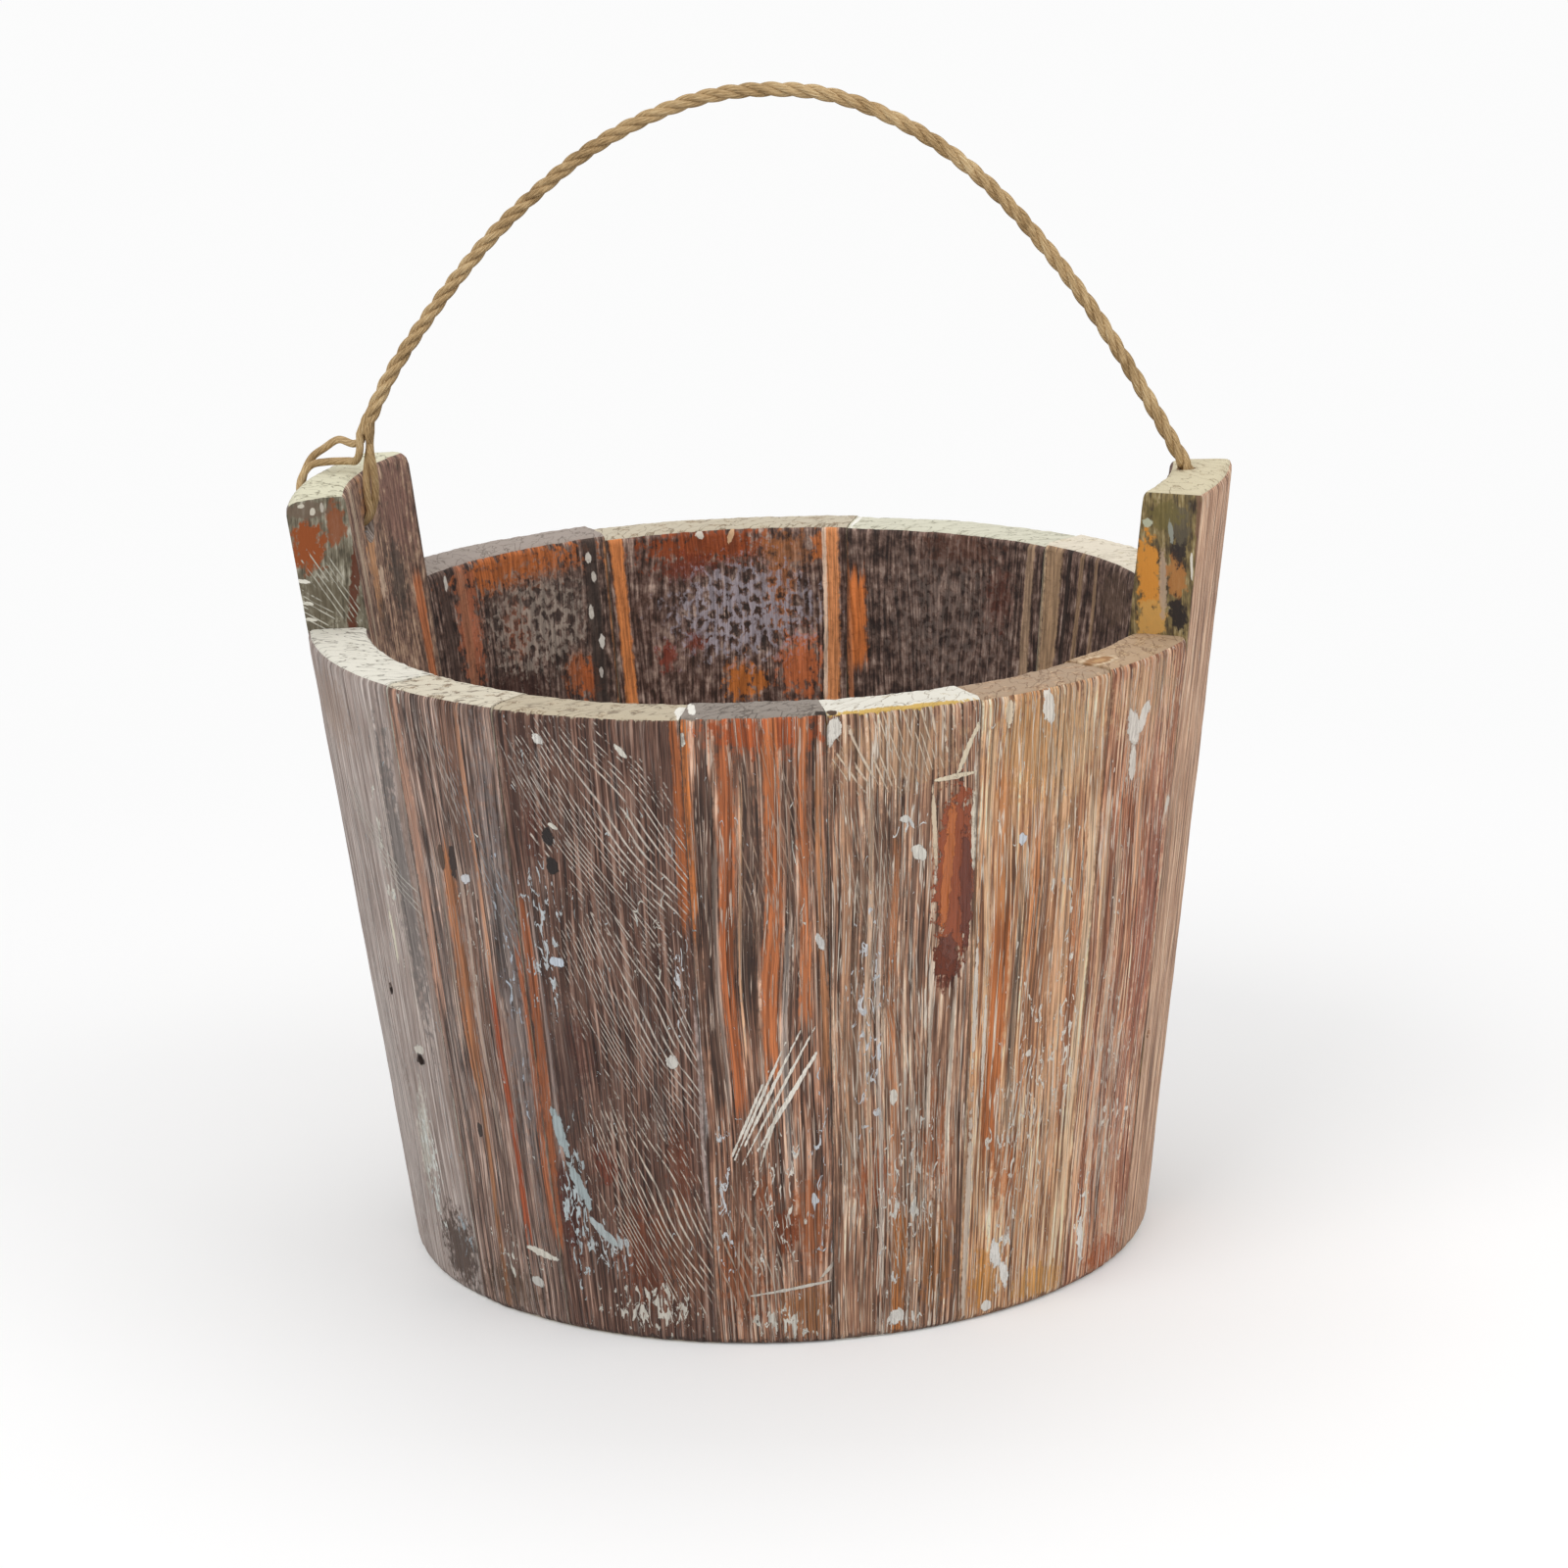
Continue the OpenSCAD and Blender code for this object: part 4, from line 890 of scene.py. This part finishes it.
def fillIn(name, look, index):
    # marks for the faces that the plan above leaves open, the same ones each time
    pick = random.Random(index * 7 + 3)
    first, last = seams[index], seams[index + 1]
    look["span"] = last - first
    look["top"] = bucket["height"] / mm + rises[index]
    look.setdefault("innerTones", darkInside if index % 2 else brownInside)
    if "strips" not in look:
        look["strips"] = [(pick.uniform(first + 1, last - 1), pick.uniform(-10, 90),
                           pick.uniform(120, 214), pick.uniform(0.9, 2.8),
                           pick.choice(spareMarks), pick.uniform(0.6, 0.95)) for _ in range(9)]
        look["patches"] = [(pick.uniform(first + 2, last - 2), pick.uniform(10, 200),
                            pick.uniform(5, 14), pick.uniform(10, 36), pick.uniform(-8, 8),
                            pick.choice(spareMarks), pick.uniform(0.4, 0.8)) for _ in range(6)]
        look["combed"] = [(pick.uniform(first + 4, last - 4), pick.uniform(40, 180),
                           pick.uniform(12, 22), pick.uniform(30, 50), pick.uniform(-28, 28),
                           pick.uniform(1.6, 2.2), "#c9bbab", 0.7) for _ in range(2)]
        look["specks"] = [(pick.uniform(first + 2, last - 2), pick.uniform(20, 200),
                           pick.uniform(8, 16), pick.uniform(20, 50), pick.uniform(0.35, 0.65),
                           white) for _ in range(3)]


def choose(kind, test):
    # picks what the test says in the mesh in hand, and nothing else
    mesh = bmesh.from_edit_mesh(bpy.context.edit_object.data)
    bpy.ops.mesh.select_mode(type={"verts": "VERT", "faces": "FACE"}[kind])
    bpy.ops.mesh.select_all(action="DESELECT")
    for item in getattr(mesh, kind):
        if test(item):
            item.select_set(True)
    bmesh.update_edit_mesh(bpy.context.edit_object.data)


def cutAt(place, way, **options):
    bpy.ops.mesh.select_all(action="SELECT")
    bpy.ops.mesh.bisect(plane_co=place, plane_no=way, **options)


detail = {
    "upStep": 0.0028,  # height of the faces on a stave
    "roundStep": 0.0008,  # their width at the rim
    "grainRelief": 0.00045,
    "waveRelief": 0.0006,
    "chipRelief": 0.0011,
}


def startPiece():
    if bpy.context.object and bpy.context.object.mode != "OBJECT":
        bpy.ops.object.mode_set(mode="OBJECT")
    bpy.ops.object.select_all(action="DESELECT")


def shapeSection(top, fall, worn):
    # the wall's section, drawn in the plane that holds the axis
    wall, edge = bucket["wall"], bucket["edge"]
    bpy.ops.mesh.primitive_plane_add(size=1, rotation=(math.pi / 2, 0, 0),
                                     location=(outerRadius(0) - wall / 2, 0, top / 2))
    piece = bpy.context.object
    piece.scale = (wall, top, 1)
    bpy.ops.object.transform_apply(location=True, rotation=True, scale=True)
    bpy.ops.object.mode_set(mode="EDIT")
    choose("verts", lambda v: v.co.z > top / 2)
    bpy.ops.transform.translate(value=(slope * top, 0, 0))
    if fall:
        choose("verts", lambda v: v.co.z > top / 2 and v.co.x > innerRadius(top) + wall / 2)
        bpy.ops.transform.translate(value=(-slope * fall, 0, -fall))
    # round the top and the outer foot
    choose("verts", lambda v: v.co.z > top / 2 and v.co.x > innerRadius(top) + wall / 2)
    bpy.ops.mesh.bevel(offset=worn, segments=4, affect="VERTICES")
    choose("verts", lambda v: v.co.z > top - 0.0001 and v.co.x < innerRadius(top) + 0.001)
    bpy.ops.mesh.bevel(offset=edge, segments=4, affect="VERTICES")
    choose("verts", lambda v: v.co.z < 0.0001 and v.co.x > outerRadius(0) - 0.001)
    bpy.ops.mesh.bevel(offset=edge, segments=4, affect="VERTICES")
    # level cuts up the wall, then cuts that run with its faces
    count = round(top / detail["upStep"])
    levels = [top * i / count for i in range(1, count)]
    low, high = bucket["grooveLow"], bucket["grooveHigh"]
    levels = [z for z in levels if abs(z - low) > 0.001 and abs(z - high) > 0.001] + [low, high]
    for z in levels:
        cutAt((0, 0, z), (0, 0, 1))
    for deep in (0.0025, 0.005, 0.0075, 0.010, 0.0125, 0.015, 0.0175):
        cutAt((outerRadius(0) - deep, 0, 0), (1, 0, -slope))
    # the groove that the base sits in
    grooveRadius = innerRadius(high) + bucket["grooveDepth"]
    choose("faces", lambda f: low < f.calc_center_median().z < high)
    bpy.ops.mesh.bisect(plane_co=(grooveRadius, 0, 0), plane_no=(1, 0, 0))
    choose("faces", lambda f: low < f.calc_center_median().z < high
           and f.calc_center_median().x < grooveRadius)
    bpy.ops.mesh.delete(type="FACE")
    return piece


def cutCorner(theta, top, radius, side):
    # takes a corner off an ear in flats, as a rasp would
    line = Matrix.Rotation(math.radians(theta), 3, "Z")
    for angle in (18, 45, 72):
        lean = math.radians(angle)
        way = line @ Vector((0, -side * math.cos(lean), math.sin(lean)))
        centre = line @ Vector((0, side * radius, 0)) + Vector((0, 0, top - radius))
        cutAt(centre + way * radius, way, clear_outer=True, use_fill=True)


def drill(piece, parts):
    # parts are cutters, each with its ends and radii; they are taken out of the piece
    for foot, head, footRadius, headRadius in parts:
        startPiece()
        way = head - foot
        bpy.ops.mesh.primitive_cone_add(vertices=40, radius1=footRadius, radius2=headRadius,
                                        depth=way.length, location=(foot + head) / 2,
                                        rotation=way.to_track_quat("Z", "Y").to_euler())
        cutter = bpy.context.object
        bpy.ops.object.select_all(action="DESELECT")
        piece.select_set(True)
        bpy.context.view_layer.objects.active = piece
        bpy.ops.object.modifier_add(type="BOOLEAN")
        boolean = piece.modifiers[-1]
        boolean.operation, boolean.solver, boolean.object = "DIFFERENCE", "EXACT", cutter
        bpy.ops.object.modifier_apply(modifier=boolean.name)
        bpy.data.objects.remove(cutter)


def weigh(piece, name, weight):
    # a vertex group whose weights follow the place of each point
    group = piece.vertex_groups.new(name=name)
    for vertex in piece.data.vertices:
        amount = weight(vertex.co)
        if amount > 0:
            group.add([vertex.index], amount, "REPLACE")


def roughen(piece, group, size, stretch, strength, middle=0.5, depth=2, shift=0):
    # pushes the surface in and out by a cloud that is drawn out along the grain
    cloud = bpy.data.textures.new(piece.name + "Cloud", "CLOUDS")
    cloud.noise_scale = size
    cloud.noise_depth = depth
    ruler = bpy.data.objects.new("ruler", None)
    bpy.context.scene.collection.objects.link(ruler)
    ruler.location = (shift, shift * 0.7, 0)
    ruler.scale = (1, 1, stretch)
    bpy.context.view_layer.update()
    startPiece()
    piece.select_set(True)
    bpy.context.view_layer.objects.active = piece
    bpy.ops.object.modifier_add(type="DISPLACE")
    push = piece.modifiers[-1]
    push.texture, push.texture_coords, push.texture_coords_object = cloud, "OBJECT", ruler
    push.strength, push.mid_level, push.vertex_group = strength, middle, group
    bpy.ops.object.modifier_apply(modifier=push.name)
    bpy.data.objects.remove(ruler)


def makeStave(index):
    name = staveNames[index]
    left, right = name == "ear_stave_left", name == "ear_stave_right"
    rim = bucket["height"] + rises[index] * mm
    top = bucket["leftTop"] if left else bucket["rightTop"] if right else rim
    ear = left or right
    first = seams[index]
    gap = math.degrees(bucket["seamGap"] / outerRadius(rim))
    span = seams[index + 1] - first - 2 * gap
    startPiece()
    piece = shapeSection(top, bucket["leftFall"] if left else 0,
                         bucket["wornEdge"] if left else bucket["edge"])
    piece.name = piece.data.name = name + "_worn"
    steps = round(math.radians(span) * outerRadius(rim) / detail["roundStep"])
    bpy.ops.mesh.select_all(action="SELECT")
    bpy.ops.mesh.spin(steps=steps, angle=math.radians(span), center=(0, 0, 0), axis=(0, 0, -1))
    bpy.ops.object.mode_set(mode="OBJECT")
    piece.rotation_euler.z = math.radians(first + gap)
    bpy.ops.object.transform_apply(location=False, rotation=True, scale=False)
    bpy.ops.object.mode_set(mode="EDIT")
    bpy.ops.mesh.select_all(action="SELECT")
    bpy.ops.mesh.remove_doubles(threshold=0.000001)
    bpy.ops.mesh.normals_make_consistent(inside=False)
    if ear:
        small = bucket["smallCorner"]
        cutCorner(first + gap, top, bucket["leftCorner"] if left else small, 1)
        cutCorner(first + gap + span, top, small, -1)
    # a finish for each kind of face: outer, inner, end grain and side
    middle = Vector((math.cos(math.radians(first + span / 2)),
                     math.sin(math.radians(first + span / 2)), 0))

    def kindOf(face):
        centre, way = face.calc_center_median(), face.normal
        out = Vector((centre.x, centre.y, 0)).normalized()
        if abs(way.z) > 0.75:
            return 2
        if way.dot(out) > 0.5:
            return 0
        return 1 if way.dot(out) < -0.5 else 2 if abs(way.z) > 0.5 else 3

    mesh = bmesh.from_edit_mesh(piece.data)
    for face in mesh.faces:
        face.material_index = kindOf(face)
    bmesh.update_edit_mesh(piece.data)
    bpy.ops.object.mode_set(mode="OBJECT")
    look = looks[name]
    fillIn(name, look, index)
    centreAngle = (first + seams[index + 1]) / 2
    finishes = [outerWood(name + "_outer", centreAngle, look, index),
                innerWood(name + "_inner", centreAngle, look, index),
                endWood(name + "_end", centreAngle, look, index)]
    finishes.append(sideWood(name + "_side", look, centreAngle, index) if ear else finishes[2])
    for material in finishes:
        piece.data.materials.append(material)

    # relief, but none on the faces that are glued to the next stave
    def openness(point):
        turn = math.degrees(math.atan2(point.y, point.x)) - (first + gap)
        turn = (turn + 180) % 360 - 180
        atSeam = min(abs(turn), abs(turn - span)) < 0.05
        deep = outerRadius(point.z) - math.hypot(point.x, point.y)
        inside = 0.0006 < deep < bucket["wall"] - 0.0006
        if atSeam and inside and point.z < bucket["height"] - 0.002:
            return 0
        if point.z < 0.0003:
            return 0
        return 0 if bucket["grooveLow"] - 0.001 < point.z < bucket["grooveHigh"] + 0.001 and (
            deep > 0.002) else 1

    def edgeness(point):
        deep = outerRadius(point.z) - math.hypot(point.x, point.y)
        near = min(abs(deep), abs(bucket["wall"] - deep)) / 0.003
        high = (top - point.z) / 0.004
        return max(0, 1 - max(near, 0) * 0.8) * max(0, 1 - high) if point.z > 0.1 else 0

    weigh(piece, "open", openness)
    weigh(piece, "edges", edgeness)
    roughen(piece, "open", 0.0022, 14, detail["grainRelief"], 0.5, 2, index * 0.31)
    roughen(piece, "open", 0.022, 2.5, detail["waveRelief"], 0.5, 1, index * 0.17)
    roughen(piece, "edges", 0.006, 1, detail["chipRelief"], 0.75, 2, index * 0.23)
    return piece


def finishStave(piece, node):
    startPiece()
    piece.select_set(True)
    bpy.context.view_layer.objects.active = piece
    bpy.ops.object.shade_smooth_by_angle(angle=math.radians(38))
    for group in list(piece.vertex_groups):
        piece.vertex_groups.remove(group)
    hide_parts(node)
    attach(piece, "bucket")


holes = {
    "eyeHeight": 0.239,
    "eyeRadius": 0.004,
    "mouth": 0.0015,
    "tailRadius": 0.0029,
    "tailDepth": 0.020,
    "nails": [("front_stave_1", 203.9, 0.1015), ("front_stave_1", 210.6, 0.0805),
              ("ear_stave_right", 335.4, 0.077)],
    "nailRadius": 0.0013,
}


def drillHoles(piece, name):
    if name == "ear_stave_left":
        out = -ropeAcross
        lift = Vector((0, 0, holes["eyeHeight"]))
        inner, outer = innerRadius(holes["eyeHeight"]), outerRadius(holes["eyeHeight"])
        radius, mouth = holes["eyeRadius"], holes["mouth"]
        drill(piece, [(out * (inner - 0.02) + lift, out * (outer + 0.02) + lift, radius, radius),
                      (out * (inner - mouth) + lift, out * (inner + mouth) + lift,
                       radius + 2 * mouth, radius),
                      (out * (outer - mouth) + lift, out * (outer + mouth) + lift,
                       radius, radius + 2 * mouth)])
    if name == "ear_stave_right":
        mouth, foot = ropePlace(141.15, 0, 259), ropePlace(148.64, 0, 240.46)
        away = (mouth - foot).normalized()
        drill(piece, [(foot, mouth + away * 0.01, holes["tailRadius"], holes["tailRadius"])])
    for owner, theta, z in holes["nails"]:
        if owner == name:
            turn = math.radians(theta)
            out = Vector((math.cos(turn), math.sin(turn), 0))
            lift = Vector((0, 0, z))
            drill(piece, [(out * (outerRadius(z) - 0.004) + lift, out * (outerRadius(z) + 0.002)
                           + lift, holes["nailRadius"], holes["nailRadius"] * 1.5)])


for index, node in enumerate(staveNames):
    stave = makeStave(index)
    drillHoles(stave, node)
    finishStave(stave, node)
print("staves made")


def boardFinish(name, seed):
    fin = Finish(name)
    point = fin.node("TexCoord", {}, {}, "Object")
    turned = fin.node("Mapping", {}, {"Vector": point,
                                      "Rotation": (0, 0, math.radians(-bucket["ropeTurn"])),
                                      "Scale": (1000, 1000, 1000)})
    parts = fin.node("SeparateXYZ", {}, {0: turned})
    x, y, _ = (Link(fin, s) for s in parts.socket.node.outputs)
    wander = fin.noise(x * 0.05 + seed * 31, y * 0.015, 2)
    fine = fin.noise((x + (wander - 0.5) * 14) * 0.9 + seed * 17, y * 0.04, 3, 0.68)
    stain = fin.noise(x * 0.03 + seed * 5, y * 0.03, 4, 0.6)
    base = fin.ramp(fine * 0.55 + stain * 0.45, [(0.34, "#2b201b"), (0.44, "#47372f"),
                                                 (0.52, "#5f4e45"), (0.60, "#78685e"),
                                                 (0.70, "#9a8b81")])
    worn = fin.smooth(fin.noise(x * 0.3 + seed, y * 0.2, 4, 0.6), 0.63, 0.68)
    base = fin.paint(worn * 0.7, base, "#a39a90")
    return fin.close(base, 0.82, fine + worn * 0.3, 0.0006, 0.7)


for seed, node in enumerate(["base_board_left", "base_board_middle", "base_board_right"]):
    frame["nodes"][node].data.materials.clear()
    frame["nodes"][node].data.materials.append(boardFinish(node + "_wood", seed))


def dowelFinish():
    fin = Finish("dowelWood")
    point = fin.node("TexCoord", {}, {}, "Object")
    parts = fin.node("SeparateXYZ", {}, {0: point})
    x, y, z = (Link(fin, s) * 1000 for s in parts.socket.node.outputs)
    fine = fin.noise(x * 0.7 + y * 0.4, z * 1.6, 3, 0.6)
    base = fin.ramp(fine, [(0.35, "#9b7a52"), (0.5, "#bb9a6e"), (0.65, "#d2b78d")])
    return fin.close(base, 0.7, fine, 0.0003, 0.5)


dowelLook = dowelFinish()
for node in ("stave_dowels_lower", "stave_dowels_upper", "base_dowels"):
    frame["nodes"][node].data.materials.clear()
    frame["nodes"][node].data.materials.append(dowelLook)
print("base and dowels finished")


# Floor, background and lamps
studio = {
    "floorSize": 8,
    "floorTone": 0.80,
    "floorGlow": 0.14,
    "floorFade": (0.2, 0.9),  # metres from the middle
    "backdrop": 0.97,
    "fill": 0.62,  # light from all round
    "lamps": [  # place, aimed at, size, watts
        ((-0.9, -1.3, 1.7), (0, 0, 0.15), 1.3, 17),
        ((1.2, -0.7, 1.3), (0, 0, 0.15), 1.2, 7),
        ((0.1, 0.9, 1.8), (0, 0, 0.15), 1.4, 9),
    ],
}


def makeStudio():
    startPiece()
    bpy.ops.mesh.primitive_plane_add(size=studio["floorSize"])
    floor = bpy.context.object
    floor.name = "floor"
    fin = Finish("paleFloor")
    ray = fin.node("LightPath", {}, {})
    seen = ray.reckon("MAXIMUM", Link(fin, ray.socket.node.outputs["Is Camera Ray"]),
                      Link(fin, ray.socket.node.outputs["Is Glossy Ray"]))
    tone, glow, far = studio["floorTone"], studio["floorGlow"], studio["backdrop"]
    matt = fin.node("BsdfDiffuse", {}, {"Color": (tone, tone, tone, 1)})
    light = fin.node("Emission", {}, {"Color": (1, 1, 1, 1), "Strength": seen * glow})
    near = fin.node("AddShader", {}, {0: matt, 1: light})
    plain = fin.node("Emission", {}, {"Color": (far, far, far, 1)})
    # away from the bucket the floor melts into the backdrop
    place = fin.node("TexCoord", {}, {}, "Object")
    reach = fin.node("VectorMath", {"operation": "LENGTH"}, {0: place}, "Value")
    share = fin.smooth(reach, *studio["floorFade"]) * seen
    both = fin.node("MixShader", {}, {0: share, 1: near, 2: plain})
    fin.node("OutputMaterial", {}, {"Surface": both})
    floor.data.materials.append(fin.material)

    world = bpy.data.worlds.new("studio")
    bpy.context.scene.world = world
    world.use_nodes = True
    tree = world.node_tree
    tree.nodes.clear()
    path = tree.nodes.new("ShaderNodeLightPath")
    pale = tree.nodes.new("ShaderNodeBackground")
    soft = tree.nodes.new("ShaderNodeBackground")
    for shader, level in ((pale, studio["backdrop"]), (soft, studio["fill"])):
        shader.inputs["Color"].default_value = (level, level, level, 1)
    most = tree.nodes.new("ShaderNodeMath")
    most.operation = "MAXIMUM"
    tree.links.new(path.outputs["Is Camera Ray"], most.inputs[0])
    tree.links.new(path.outputs["Is Transmission Ray"], most.inputs[1])
    blend = tree.nodes.new("ShaderNodeMixShader")
    tree.links.new(most.outputs[0], blend.inputs[0])
    tree.links.new(soft.outputs[0], blend.inputs[1])
    tree.links.new(pale.outputs[0], blend.inputs[2])
    output = tree.nodes.new("ShaderNodeOutputWorld")
    tree.links.new(blend.outputs[0], output.inputs[0])

    for place, target, size, watts in studio["lamps"]:
        bpy.ops.object.light_add(type="AREA", location=place)
        lamp = bpy.context.object
        lamp.data.size = size
        lamp.data.energy = watts
        way = Vector(target) - Vector(place)
        lamp.rotation_euler = way.to_track_quat("-Z", "Y").to_euler()


makeStudio()
bpy.context.scene.view_settings.view_transform = "Standard"
print("studio ready")
